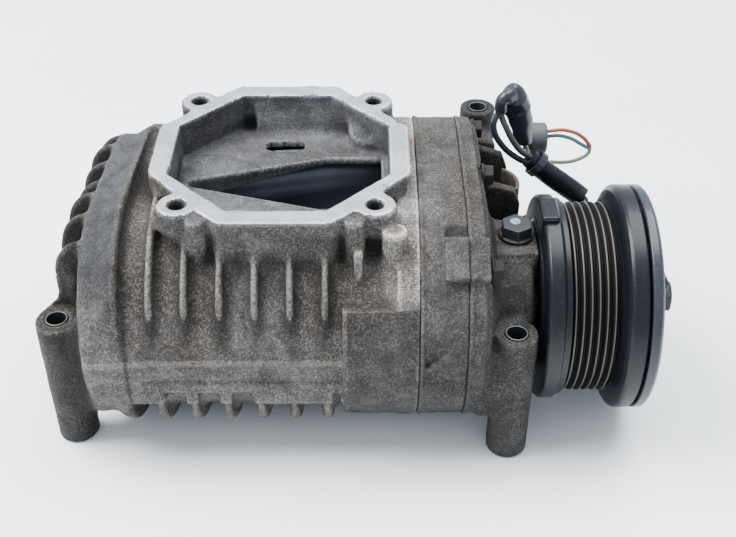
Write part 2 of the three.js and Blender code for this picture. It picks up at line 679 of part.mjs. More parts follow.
// The lobe is a circular arc; the hollow between lobes is the path swept by the mating rotor's lobe as
// the two roll together on their pitch circles.
function rotorOutline() {
  const half = Math.PI / (2 * LOBES);
  const reach = PITCH_R * Math.cos(half);
  const centreR = (ROTOR_TIP_R ** 2 - PITCH_R ** 2) / (2 * (ROTOR_TIP_R - reach));
  const lobeR = ROTOR_TIP_R - centreR;
  const crossing = Math.atan2(PITCH_R * Math.sin(half), reach - centreR);
  const [lobeSteps, hollowSteps] = [8, 10];
  const points = [];
  for (let lobe = 0; lobe < LOBES; lobe += 1) {
    const turn = new THREE.Vector2();
    const middle = (lobe * 2 * Math.PI) / LOBES;
    for (let i = 0; i <= lobeSteps; i += 1) {
      const a = crossing * ((2 * i) / lobeSteps - 1);
      const r = lobeR - ROTOR_CLEARANCE;
      turn.set(centreR + r * Math.cos(a), r * Math.sin(a)).rotateAround(new THREE.Vector2(), middle);
      points.push(turn.clone());
    }
    for (let i = 1; i < hollowSteps; i += 1) {
      const share = (2 * i) / hollowSteps - 1;
      const a = half * share * Math.abs(share);
      const pitchPoint = new THREE.Vector2(PITCH_R * Math.cos(a), PITCH_R * Math.sin(a));
      const mate = new THREE.Vector2(
        2 * pitchPoint.x - centreR * Math.cos(2 * a),
        2 * pitchPoint.y - centreR * Math.sin(2 * a),
      );
      const towards = pitchPoint.sub(mate).normalize();
      turn.copy(mate).addScaledVector(towards, lobeR + ROTOR_CLEARANCE);
      points.push(turn.clone().rotateAround(new THREE.Vector2(), middle + 2 * half));
    }
  }
  return points;
}

function rotor(y, hand) {
  const shape = new THREE.Shape(rotorOutline());
  const hole = new THREE.Path();
  hole.absarc(0, 0, SHAFT_FIT_R, 0, 2 * Math.PI, true);
  shape.holes.push(hole);
  const [x0, x1] = [REAR_WALL_X + 0.6, HOUSING_X - 0.5];
  const length = x1 - x0;
  const steps = 8;
  const options = { depth: length, steps, bevelEnabled: false, curveSegments: 12 };
  const geometry = new THREE.ExtrudeGeometry(shape, options);
  const places = geometry.attributes.position;
  const point = new THREE.Vector2();
  for (let i = 0; i < places.count; i += 1) {
    const a = hand * ROTOR_TWIST * (places.getZ(i) / length);
    point.set(places.getX(i), places.getY(i)).rotateAround(new THREE.Vector2(), a);
    places.setXY(i, point.x, point.y);
  }
  geometry.applyMatrix4(ALONG_X);
  geometry.translate(x0, y, AXIS_Z);
  return solidOf(geometry);
}

// ---- timing gears -------------------------------------------------------------------------------

function involuteGear(teeth, backlash) {
  const module = CENTRE_DISTANCE / teeth;
  const pressure = THREE.MathUtils.degToRad(20);
  const pitchR = CENTRE_DISTANCE / 2;
  const baseR = pitchR * Math.cos(pressure);
  const tipR = pitchR + 0.9 * module;
  const rootR = pitchR - 1.2 * module;
  const roll = (r) => {
    const t = Math.sqrt(Math.max(0, (r / baseR) ** 2 - 1));
    return t - Math.atan(t);
  };
  const halfThick = Math.PI / (2 * teeth) - backlash / (2 * pitchR);
  const flank = [];
  const steps = 2;
  for (let i = 0; i <= steps; i += 1) {
    const r = Math.max(baseR, rootR) + ((tipR - Math.max(baseR, rootR)) * i) / steps;
    flank.push([r, halfThick + roll(pitchR) - roll(r)]);
  }
  const points = [];
  for (let tooth = 0; tooth < teeth; tooth += 1) {
    const middle = (tooth * 2 * Math.PI) / teeth;
    const place = (r, a) => {
      points.push(new THREE.Vector2(r * Math.cos(middle + a), r * Math.sin(middle + a)));
    };
    place(rootR, -flank[0][1] - 0.01);
    flank.forEach(([r, a]) => place(r, -a));
    [...flank].reverse().forEach(([r, a]) => place(r, a));
    place(rootR, flank[0][1] + 0.01);
  }
  return points;
}

function timingGear(y, phase) {
  const points = involuteGear(GEAR_TEETH, 0.4).map((p) => p.rotateAround(new THREE.Vector2(), phase));
  const shape = new THREE.Shape(points);
  const hole = new THREE.Path();
  hole.absarc(0, 0, SHAFT_FIT_R, 0, 2 * Math.PI, true);
  shape.holes.push(hole);
  return push(shape, GEAR_X1 - GEAR_X0, ALONG_X, [GEAR_X0, y, AXIS_Z], 8);
}

// ---- bearings, shafts and seals -----------------------------------------------------------------

// a closed ball or roller bearing, its races and balls as one ring
function bearing(y, rIn, rOut, x0, x1, sides = 20) {
  return turnedX(ring(rIn, rOut, x0, x1), y, AXIS_Z, sides);
}

function shaft(y, x1) {
  const x0 = REAR_WALL_X - 7;
  return turnedX(
    [[0, x0], [SHAFT_R - 1, x0], [SHAFT_R, x0 + 1], [SHAFT_R, x1 - 1], [SHAFT_R - 1, x1], [0, x1]],
    y, AXIS_Z, 16,
  );
}

const NODES_ON_AXES = [['drive', DRIVE_Y, 1, 0], ['driven', DRIVEN_Y, -1, Math.PI / GEAR_TEETH]];
const DRIVE_SHAFT_X1 = 94;

add('rotor_housing', rotorHousing(), CAST);
add('gear_case', gearCase(), CAST);
add('front_cover', frontCover(), CAST);
for (const [side, y, hand, phase] of NODES_ON_AXES) {
  add(`${side}_rotor`, rotor(y, hand), ROTOR);
  add(`${side}_rotor_shaft`, shaft(y, side === 'drive' ? DRIVE_SHAFT_X1 : GEAR_X1 + 0.8), SHAFT);
  add(`${side}_timing_gear`, timingGear(y, phase), DARK_STEEL);
  const rearBearing = bearing(y, SHAFT_FIT_R, REAR_BEARING_R, REAR_WALL_X - 7.6, REAR_WALL_X - GAP);
  const frontBearing = bearing(y, SHAFT_FIT_R, FRONT_BEARING_R, CASE_X0 + 3.3, CASE_WALL_X);
  const seal = turnedX(ring(SHAFT_FIT_R, SEAL_R, CASE_X0 + GAP, CASE_X0 + 2.9), y, AXIS_Z, 16);
  add(`${side}_rear_bearing`, rearBearing, BEARING);
  add(`${side}_front_bearing`, frontBearing, BEARING);
  add(`${side}_shaft_seal`, seal, SEAL);
}

// ---- input shaft, coupler and snout bearings ----------------------------------------------------

const INPUT_X0 = DRIVE_SHAFT_X1 + GAP;
const HUB_X1 = 177;
const couplerProfile = [
  [SHAFT_FIT_R, 90.9], [COUPLER_R - 1.5, 90.9], [COUPLER_R, 92.4], [COUPLER_R, 96.5], [COUPLER_R - 1.5, 98],
  [INPUT_R + GAP, 98], [INPUT_R + GAP, INPUT_X0 - GAP], [SHAFT_FIT_R, INPUT_X0 - GAP], [SHAFT_FIT_R, 90.9],
];
add('shaft_coupler', turnedX(couplerProfile, DRIVE_Y, AXIS_Z, 20), DARK_STEEL);
add('input_shaft', rodX(DRIVE_Y, AXIS_Z, INPUT_R, INPUT_X0, HUB_X1 - 2, 16), SHAFT);
add('rear_snout_bearing', bearing(DRIVE_Y, INPUT_R + GAP, SNOUT_BORE_R - GAP, 99.2, 110.2), BEARING);
add('front_snout_bearing', bearing(DRIVE_Y, INPUT_R + GAP, SNOUT_BORE_R - GAP, 138, 149), BEARING);
add('snout_seal', turnedX(ring(INPUT_R + GAP, SNOUT_BORE_R - GAP, 150.5, 156), DRIVE_Y, AXIS_Z, 16), SEAL);

// ---- clutch coil, pulley and its bearing --------------------------------------------------------

function clutchCoil() {
  const body = turnedX(
    [[COIL_INNER_R, COIL_X0 - 1.2], [36, COIL_X0 - 1.2], [37, COIL_X0],
      [COIL_R - 1.2, COIL_X0], [COIL_R, COIL_X0 + 1.2], [COIL_R, 127.4],
      [COIL_R - 1.7, 128.6], [COIL_R - 1.7, COIL_X1], [COIL_INNER_R, COIL_X1],
      [COIL_INNER_R, COIL_X0 - 1.2]],
    DRIVE_Y, AXIS_Z, 32,
  );
  const lug = block(COIL_X0 - 1.2, 127.2, DRIVE_Y - 8, DRIVE_Y + 9, AXIS_Z + 40, AXIS_Z + COIL_R + 2.2);
  const lead = rodY(124, AXIS_Z + 4, 6.2, DRIVE_Y + 40, DRIVE_Y + COIL_R + 6, 12);
  return join(body, lug, lead);
}

function pulley() {
  const profile = [[PULLEY_BEARING_R + GAP, 136.6], [35.5, 136.6], [35.5, 150], [39, 150], [39, PULLEY_X0]];
  profile.push([RIBBED_R - 1, PULLEY_X0]);
  for (let i = 0; i < BELT_RIBS; i += 1) {
    const x = FIRST_RIDGE_X + i * BELT_PITCH;
    profile.push([RIBBED_R, x], [GROOVE_R, x + BELT_PITCH / 2]);
  }
  profile.push(
    [GROOVE_R + 1, 153.2], [GROOVE_R + 3.2, 154.2], [DRUM_R - 2.2, 155.2], [DRUM_R, 157], [DRUM_R, 163.2],
    [DRUM_R - 1, PULLEY_X1], [24, PULLEY_X1], [24, 153.4], [PULLEY_BEARING_R + GAP, 153.4],
    [PULLEY_BEARING_R + GAP, 136.6],
  );
  return turnedX(profile, DRIVE_Y, AXIS_Z, 28);
}

add('clutch_coil', clutchCoil(), BLACK);
add('pulley', pulley(), BLACK);
add('pulley_bearing', bearing(DRIVE_Y, NOSE_TUBE_R + GAP, PULLEY_BEARING_R, 136.8, 153.1, 24), BEARING);
add('pulley_snap_ring', turnedX(ring(NOSE_TUBE_R + GAP, 23.2, 153.7, 155.2), DRIVE_Y, AXIS_Z, 20), STEEL);

// ---- armature plate, hub and springs ------------------------------------------------------------

const PLATE_INNER_R = 31;
const SPRING_COUNT = 3;

function armaturePlate() {
  const plate = turnedX(
    [[PLATE_INNER_R, PLATE_X0], [DRUM_R - 0.6, PLATE_X0], [DRUM_R, PLATE_X0 + 0.6], [DRUM_R, PLATE_X1 - 1.6],
      [DRUM_R - 1.6, PLATE_X1], [PLATE_INNER_R, PLATE_X1],
      [PLATE_INNER_R, PLATE_X0]],
    DRIVE_Y, AXIS_Z, 32,
  );
  const windows = [];
  for (let i = 0; i < SPRING_COUNT; i += 1) {
    const a = ((i + 0.5) * 2 * Math.PI) / SPRING_COUNT;
    const arc = new THREE.Shape();
    arc.absarc(0, 0, 45.5, a - 0.42, a + 0.42, false);
    arc.absarc(0, 0, 41, a + 0.42, a - 0.42, true);
    arc.closePath();
    windows.push(push(arc, 20, ALONG_X, [PLATE_X0 - 5, DRIVE_Y, AXIS_Z], 5));
  }
  return cut(plate, ...windows);
}

function armatureHub() {
  return turnedX(
    [[INPUT_R + GAP, 160], [13, 160], [13, 166.4], [28.5, 166.4], [28.5, 170.4], [15, 170.4], [13.5, 172.2],
      [13.5, HUB_X1 - 1], [12.5, HUB_X1], [INPUT_R + GAP, HUB_X1], [INPUT_R + GAP, 160]],
    DRIVE_Y, AXIS_Z, 20,
  );
}

// a flat leaf from the hub's flange out to the plate, with a rivet head at each end
function leafSpring(index) {
  const a = (index * 2 * Math.PI) / SPRING_COUNT + 0.25;
  const [inner, outer] = [[22, a - 0.55], [44, a]].map(([r, t]) => [r * Math.cos(t), r * Math.sin(t)]);
  const along = new THREE.Vector2(outer[0] - inner[0], outer[1] - inner[1]);
  const facing = along.angle();
  const shape = new THREE.Shape();
  shape.absarc(outer[0], outer[1], 5.5, facing - Math.PI / 2, facing + Math.PI / 2, false);
  shape.absarc(inner[0], inner[1], 5.5, facing + Math.PI / 2, facing + Math.PI * 1.5, false);
  shape.closePath();
  const [x0, x1] = [PLATE_X1 + 0.4, PLATE_X1 + 1.4];
  const leaf = push(shape, x1 - x0, ALONG_X, [x0, DRIVE_Y, AXIS_Z], 5);
  const rivets = [inner, outer].map(([y, z]) => rodX(DRIVE_Y + y, AXIS_Z + z, 3.2, x0 + 0.5, x1 + 1.4, 8));
  return join(leaf, ...rivets);
}

function hexHeadX(y, z, flats, x0, x1) {
  const shape = outline(hexagon(flats).map(([a, b]) => [a + y, b + z]));
  return prismX(shape, x0, x1);
}

add('armature_plate', armaturePlate(), BLACK);
add('armature_hub', armatureHub(), DARK_STEEL);
for (let i = 0; i < SPRING_COUNT; i += 1) {
  add(`armature_leaf_spring_${i + 1}`, leafSpring(i), DARK_STEEL);
}
const hubBolt = join(
  turnedX([[0, HUB_X1 + GAP], [11, HUB_X1 + GAP], [11, HUB_X1 + 2], [9.6, HUB_X1 + 2.6], [0, HUB_X1 + 2.6]],
    DRIVE_Y, AXIS_Z, 24),
  hexHeadX(DRIVE_Y, AXIS_Z, 14, HUB_X1 + 2, BOLT_TIP_X - 1.4),
  rodX(DRIVE_Y, AXIS_Z, 5.4, HUB_X1 + 2, BOLT_TIP_X, 16),
);
add('hub_bolt', hubBolt, DARK_STEEL);

// ---- fasteners, plug and sleeves ----------------------------------------------------------------

BOLT_PLACES.forEach(([y, z], i) => {
  const seat = BOLT_SEAT_X + GAP;
  const headEnd = seat + 5.5;
  const shank = rodX(y, z, BOLT_R, HOUSING_X - BOLT_ENTRY, seat + 1, 8);
  const washer = rodX(y, z, BOLT_HEAD_R, seat, seat + 1.2, 12);
  add(`cover_bolt_${i + 1}`, join(shank, washer, hexHeadX(y, z, 9, seat + 0.6, headEnd)), PLATED);
});
DOWEL_PLACES.forEach(([y, z], i) => {
  add(`dowel_pin_${i + 1}`, rodX(y, z, DOWEL_R, DOWEL_X0, DOWEL_X1, 8), STEEL);
});

const plugHex = hexagon(13).map(([a, b]) => [PLUG_X + a, DRIVE_Y + b]);
const oilPlug = join(
  rodZ(PLUG_X, DRIVE_Y, PLUG_HOLE_R, PLUG_SEAT_Z - 9, PLUG_SEAT_Z + 1, 16),
  rodZ(PLUG_X, DRIVE_Y, 8, PLUG_SEAT_Z + GAP, PLUG_SEAT_Z + 1.6, 20),
  prismZ(outline(plugHex), PLUG_SEAT_Z + 1, PLUG_SEAT_Z + 7.4),
);
add('oil_fill_plug', oilPlug, PLUG);

for (const [place, [x, y, top]] of Object.entries(TUBES)) {
  const sleeve = turnedZ(ring(SLEEVE_BORE_R, SLEEVE_R, 0.2, top + 0.2), x, y, 16);
  add(`${place}_mount_sleeve`, sleeve, STEEL);
}

// ---- wiring: coil lead, folded harness, connector and wires -------------------------------------

function tubeAlong(points, r, steps, sides = 10) {
  const path = new THREE.CatmullRomCurve3(points.map((p) => new THREE.Vector3(...p)), false, 'centripetal');
  const section = new THREE.Shape();
  for (let i = 0; i < sides; i += 1) {
    const a = (i * 2 * Math.PI) / sides;
    const place = [r * Math.cos(a), r * Math.sin(a)];
    if (i === 0) {
      section.moveTo(...place);
    } else {
      section.lineTo(...place);
    }
  }
  section.closePath();
  return solidOf(new THREE.ExtrudeGeometry(section, { steps, extrudePath: path, bevelEnabled: false }));
}

const COIL_LEAD = [[122.5, 35, 96], [128.5, 33.6, 91.4], [137.5, 31.2, 84.6], [150.5, 29, 75.6]];
const COIL_LEAD_R = 5.4;
const HARNESS = [
  [119.6, 44.5, 103], [117.4, 44.5, 108], [115.8, 44.5, 114], [113.9, 44.5, 120.3], [112, 44.5, 126.6],
];
const HARNESS_R = 6.2;
// the harness's folded end, laid against its front
const FOLD = [
  [111, 42.5, 128.6], [109.4, 39.6, 131.4], [106.9, 38.4, 130.2], [106.3, 38, 126.4], [106.9, 38, 122.8],
];
const FOLD_R = 3.6;
const LEAD_R = 1.5;
const LEADS = {
  harness_lead_1: [
    [105.1, 37.4, 120.9], [103.4, 35.6, 117.4], [103.4, 34.6, 112.4], [107.2, 33.6, 105.6],
    [113.4, 33.6, 99.6], [119.5, 35, 95],
  ],
  harness_lead_2: [
    [108.7, 37.4, 121], [110, 35, 116.4], [112.6, 34, 110], [117.5, 33.6, 103.8], [122.3, 35, 98.6],
  ],
  coil_lead_1: [
    [152.1, 31.8, 74.6], [154.5, 32.6, 69.5], [150.5, 35, 64.6], [139, 36.5, 62], [129.5, 35.5, 64.5],
    [125.6, 31.5, 65.6], [125.4, 26.4, 65.6],
  ],
  coil_lead_2: [
    [151.6, 26.6, 74.9], [152.4, 27.3, 69.6], [146, 29, 64.2], [136, 30, 60.5], [128, 30.6, 59.4],
    [123.4, 29.6, 59.5], [122.8, 26.4, 59.5],
  ],
};
const WIRE_R = 0.9;
const RED_RUN = [
  [135.4, 60, 96.5], [138.2, 60, 97.3], [143, 60, 97.6], [149.5, 60, 95.9], [154.6, 60, 92.4],
  [157.6, 60, 88.6],
];
const TEAL_RUN = [
  [135.4, 60, 93.4], [138.5, 60, 94.1], [142.7, 60, 93.9], [148.2, 60, 92.1], [152.8, 60, 89.2],
];
const GREEN_RUN = [
  [157.9, 59.5, 87.5], [157.2, 58.8, 83.8], [153.6, 58.5, 80.9], [148.1, 58.4, 79], [142.9, 58, 78.8],
  [137, 57, 79.7], [131.5, 54, 81.5], [126.5, 50.5, 86], [123.2, 47.2, 93], [120.4, 44.8, 101.9],
];
const CONNECTOR_PLACE = [60, 92.6];
const CONNECTOR_PROFILE = [
  [0, 122.6], [6, 122.6], [6.4, 125.6], [8.3, 126], [8.3, 133.4], [7.2, 134.4], [0, 134.4],
];
const TIE_PLACE = [126.5, 34.1, 93];

// a band round a sleeve at a point of its run
function band(place, towards, rIn, rOut, width) {
  const section = ring(rIn, rOut, -width / 2, width / 2).map((p) => new THREE.Vector2(...p));
  const geometry = new THREE.LatheGeometry(section, 14);
  const axis = new THREE.Vector3(...towards).sub(new THREE.Vector3(...place)).normalize();
  geometry.applyQuaternion(new THREE.Quaternion().setFromUnitVectors(new THREE.Vector3(0, 1, 0), axis));
  geometry.translate(...place);
  return solidOf(geometry);
}

// the wrapped harness, closed by a rounded end over which its last length is folded
function harness() {
  const end = new THREE.SphereGeometry(HARNESS_R, 10, 8);
  end.translate(...HARNESS[HARNESS.length - 1]);
  return join(tubeAlong(HARNESS, HARNESS_R, 5), solidOf(end), tubeAlong(FOLD, FOLD_R, 6, 8));
}

// a curved upright strap beside the snout that carries the harness
function harnessBracket() {
  const [centre, r, thick] = [[100, 12], 15, 1.8];
  const [from, to] = [-28, 58].map(THREE.MathUtils.degToRad);
  const strip = new THREE.Shape();
  strip.absarc(...centre, r, from, to, false);
  strip.absarc(...centre, r - thick, to, from, true);
  strip.closePath();
  return prismZ(strip, 74, 97, 8);
}

add('harness_bracket', harnessBracket(), DARK_STEEL);
add('coil_lead_sleeve', tubeAlong(COIL_LEAD, COIL_LEAD_R, 5), RUBBER);
add('harness_sleeve', harness(), RUBBER);
add('harness_tie', band(TIE_PLACE, COIL_LEAD[1], COIL_LEAD_R + 0.4, COIL_LEAD_R + 1.6, 3.6), RUBBER);
for (const [name, points] of Object.entries(LEADS)) {
  add(name, tubeAlong(points, LEAD_R, 6, 6), RUBBER);
}
add('red_wire', tubeAlong(RED_RUN, WIRE_R, 7, 6), RED);
add('teal_wire', tubeAlong(TEAL_RUN, WIRE_R, 6, 6), TEAL);
add('green_wire', tubeAlong(GREEN_RUN, WIRE_R, 10, 6), GREEN);
add('coil_connector', turnedX(CONNECTOR_PROFILE, ...CONNECTOR_PLACE, 20), CONNECTOR);

// ---- place the origin in the middle of the footprint, on the ground -----------------------------

const extent = new THREE.Box3().setFromObject(supercharger);
const middle = extent.getCenter(new THREE.Vector3());
supercharger.position.set(-middle.x, -middle.y, 0);

export default supercharger;
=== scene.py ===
"""Looks for the roots supercharger: castings with soft fillets, bright machined faces, black pulley and wiring."""

import math

import bmesh
import bpy
import numpy as np
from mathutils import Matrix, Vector


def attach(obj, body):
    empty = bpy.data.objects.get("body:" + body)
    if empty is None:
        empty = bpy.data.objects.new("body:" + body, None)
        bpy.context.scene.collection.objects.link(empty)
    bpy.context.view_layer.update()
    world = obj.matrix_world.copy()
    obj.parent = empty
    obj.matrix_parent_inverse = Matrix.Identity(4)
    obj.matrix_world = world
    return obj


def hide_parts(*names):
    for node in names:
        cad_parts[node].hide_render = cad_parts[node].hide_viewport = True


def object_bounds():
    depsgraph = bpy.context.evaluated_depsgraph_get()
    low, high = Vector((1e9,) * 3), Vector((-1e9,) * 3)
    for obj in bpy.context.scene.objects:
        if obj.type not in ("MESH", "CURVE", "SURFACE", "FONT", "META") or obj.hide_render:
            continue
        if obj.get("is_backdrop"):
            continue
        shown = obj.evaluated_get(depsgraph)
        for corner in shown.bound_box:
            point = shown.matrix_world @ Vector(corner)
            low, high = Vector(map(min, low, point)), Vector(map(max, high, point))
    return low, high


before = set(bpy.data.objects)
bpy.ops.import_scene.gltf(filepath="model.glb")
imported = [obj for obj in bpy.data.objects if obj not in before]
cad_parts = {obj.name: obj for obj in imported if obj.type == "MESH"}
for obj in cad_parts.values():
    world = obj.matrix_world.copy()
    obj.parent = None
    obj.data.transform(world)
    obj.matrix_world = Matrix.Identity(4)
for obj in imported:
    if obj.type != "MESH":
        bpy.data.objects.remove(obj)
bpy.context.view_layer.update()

# Lengths below are millimetres about the middle of the outlet flange, X along the rotors towards the
# pulley, Y away from the front, Z up. SHIFT takes them to the row frame.
SHIFT = np.array([37.5, 13.85, 0.0])

PITCH_R, AXIS_Z = 29.5, 58.5
DRIVE_Y, DRIVEN_Y = -PITCH_R, PITCH_R
BODY_R, COLLAR_R, RIM_R, FIN_R, SEAM_R = 51.0, 53.0, 56.0, 58.4, 56.8
BODY_BACK_R, COLLAR_BACK_R, FIN_BACK_R = 46.8, 47.4, 52.0
SIDE_Y = PITCH_R + BODY_R
BORE_R = 43.35
FIN_TIP_X, REAR_X, COLLAR_X, REAR_WALL_X, HOUSING_X = -101.5, -95.0, -88.0, -84.0, 63.2
CASE_X0, CASE_X1, COVER_X0, COVER_X1 = 63.5, 84.6, 84.9, 95.0
NOSE_X, NOSE_TUBE_X, NOSE_R, NOSE_TUBE_R = 116.0, 158.0, 34.5, 19.6
FLANGE_Z, FLANGE_THICK, FLOOR_Z = 123.35, 7.5, 105.0
EAR_X, EAR_Y, EAR_R, TAPPED_R = 43.5, 45.9, 8.2, 3.9
TUBE_R, TUBE_FOOT, SLEEVE_R, SLEEVE_BORE_R = 9.65, 0.15, 5.2, 4.4
TUBES = {"front_left": (-101.3, -61.05, 71.0), "front_right": (106.9, -71.7, 71.0), "back_right": (102.1, 104.1, 86.6)}
RIB_FIRST_X, RIB_PITCH, RIB_COUNT, RIB_THICK = -70.9, 15.4, 7, 3.4
COIL_X0, COIL_X1, COIL_R, COIL_INNER_R = 120.2, 131.2, 48.9, 21.0
PULLEY_X0, PULLEY_X1, PLATE_X0, PLATE_X1 = 131.9, 164.2, 165.2, 170.6
DRUM_R, RIBBED_R, GROOVE_R = 53.6, 45.3, 42.4
PLUG_X, PLUG_SEAT_Z = 109.0, 94.0
BOLT_PLACES = [
    (side * (PITCH_R + 50 * math.cos(math.radians(a))), AXIS_Z + 50 * math.sin(math.radians(a)))
    for side in (-1, 1)
    for a in (52, -52)
] + [(0.0, AXIS_Z + 50), (0.0, AXIS_Z - 50)]
DOWEL_PLACES = [(DRIVE_Y - 50, AXIS_Z), (DRIVEN_Y + 50, AXIS_Z)]
VOXEL = 0.85

# ---- distances: negative inside ------------------------------------------------------------------


def slab(s, s0, s1):
    return np.abs(s - (s0 + s1) / 2) - (s1 - s0) / 2


def both(a, b, e):
    """Where a and b are both inside, with the edge between them rounded to radius e."""
    p, q = a + e, b + e
    return np.minimum(np.maximum(p, q), 0) + np.hypot(np.maximum(p, 0), np.maximum(q, 0)) - e


def capsule(y, z, front, back=None):
    """Two circles about the rotor axes and the straight lines joining them, of radius front and back."""
    share = np.clip((y - DRIVE_Y) / (2 * PITCH_R), 0, 1)
    r = front if back is None else front + (back - front) * share
    return np.hypot(np.maximum(np.abs(y) - PITCH_R, 0), z - AXIS_Z) - r


def polygon(u, v, points):
    pts = np.array(points, np.float32)
    best, sign = None, None
    for a, b in zip(pts, np.roll(pts, 1, axis=0)):
        e = b - a
        wu, wv = u - a[0], v - a[1]
        t = np.clip((wu * e[0] + wv * e[1]) / max(float(e @ e), 1e-9), 0, 1)
        d = (wu - e[0] * t) ** 2 + (wv - e[1] * t) ** 2
        c1, c2, c3 = v >= a[1], v < b[1], e[0] * wv > e[1] * wu
        flip = (c1 & c2 & c3) | ~(c1 | c2 | c3)
        best = d if best is None else np.minimum(best, d)
        sign = flip if sign is None else sign ^ flip
    return np.where(sign, -1, 1) * np.sqrt(best)


def octagon(half_x, half_y, corner_x, corner_y):
    return [
        (half_x, -corner_y), (half_x, corner_y), (corner_x, half_y), (-corner_x, half_y),
        (-half_x, corner_y), (-half_x, -corner_y), (-corner_x, -half_y), (corner_x, -half_y),
    ]


# Each shape is (distance function, lowest corner, highest corner).
def stadium(r, x0, x1, e=1.0, back=None):
    reach = PITCH_R + r
    return (
        lambda x, y, z: both(capsule(y, z, r, back), slab(x, x0, x1), e),
        (x0, -reach, AXIS_Z - r),
        (x1, reach, AXIS_Z + r),
    )


def box(x0, x1, y0, y1, z0, z1, e=0.6):
    def distance(x, y, z):
        p, q, r = slab(x, x0, x1) + e, slab(y, y0, y1) + e, slab(z, z0, z1) + e
        out = np.sqrt(np.maximum(p, 0) ** 2 + np.maximum(q, 0) ** 2 + np.maximum(r, 0) ** 2)
        return np.minimum(np.maximum(np.maximum(p, q), r), 0) + out - e

    return distance, (x0, y0, z0), (x1, y1, z1)


def rod(axis, a, b, r, s0, s1, e=0.6, taper=0.0):
    """A round bar along an axis ('x', 'y' or 'z'); a and b place it on the other two, in order."""
    n = "xyz".index(axis)

    def distance(*p):
        s = p[n]
        u, v = [p[i] for i in range(3) if i != n]
        radius = r + taper * (s - s0)
        return both(np.hypot(u - a, v - b) - radius, slab(s, s0, s1), e)

    wide = r + abs(taper) * (s1 - s0)
    lo, hi = [a - wide, b - wide], [a + wide, b + wide]
    lo.insert(n, s0)
    hi.insert(n, s1)
    return distance, tuple(lo), tuple(hi)


def prism(axis, points, s0, s1, e=0.6):
    n = "xyz".index(axis)

    def distance(*p):
        u, v = [p[i] for i in range(3) if i != n]
        return both(polygon(u, v, points), slab(p[n], s0, s1), e)

    pts = np.array(points)
    lo, hi = list(pts.min(0)), list(pts.max(0))
    lo.insert(n, s0)
    hi.insert(n, s1)
    return distance, tuple(lo), tuple(hi)


def turned(profile, y, z):
    """A solid of revolution about an X axis, from (radius, x) points."""
    pts = np.array(profile)
    r = pts[:, 0].max()
    return (
        lambda px, py, pz: polygon(np.hypot(py - y, pz - z), px + 0 * py * pz, profile),
        (pts[:, 1].min(), y - r, z - r),
        (pts[:, 1].max(), y + r, z + r),
    )


def meet(shape, other):
    return (lambda x, y, z: np.maximum(shape[0](x, y, z), other(x, y, z)), shape[1], shape[2])


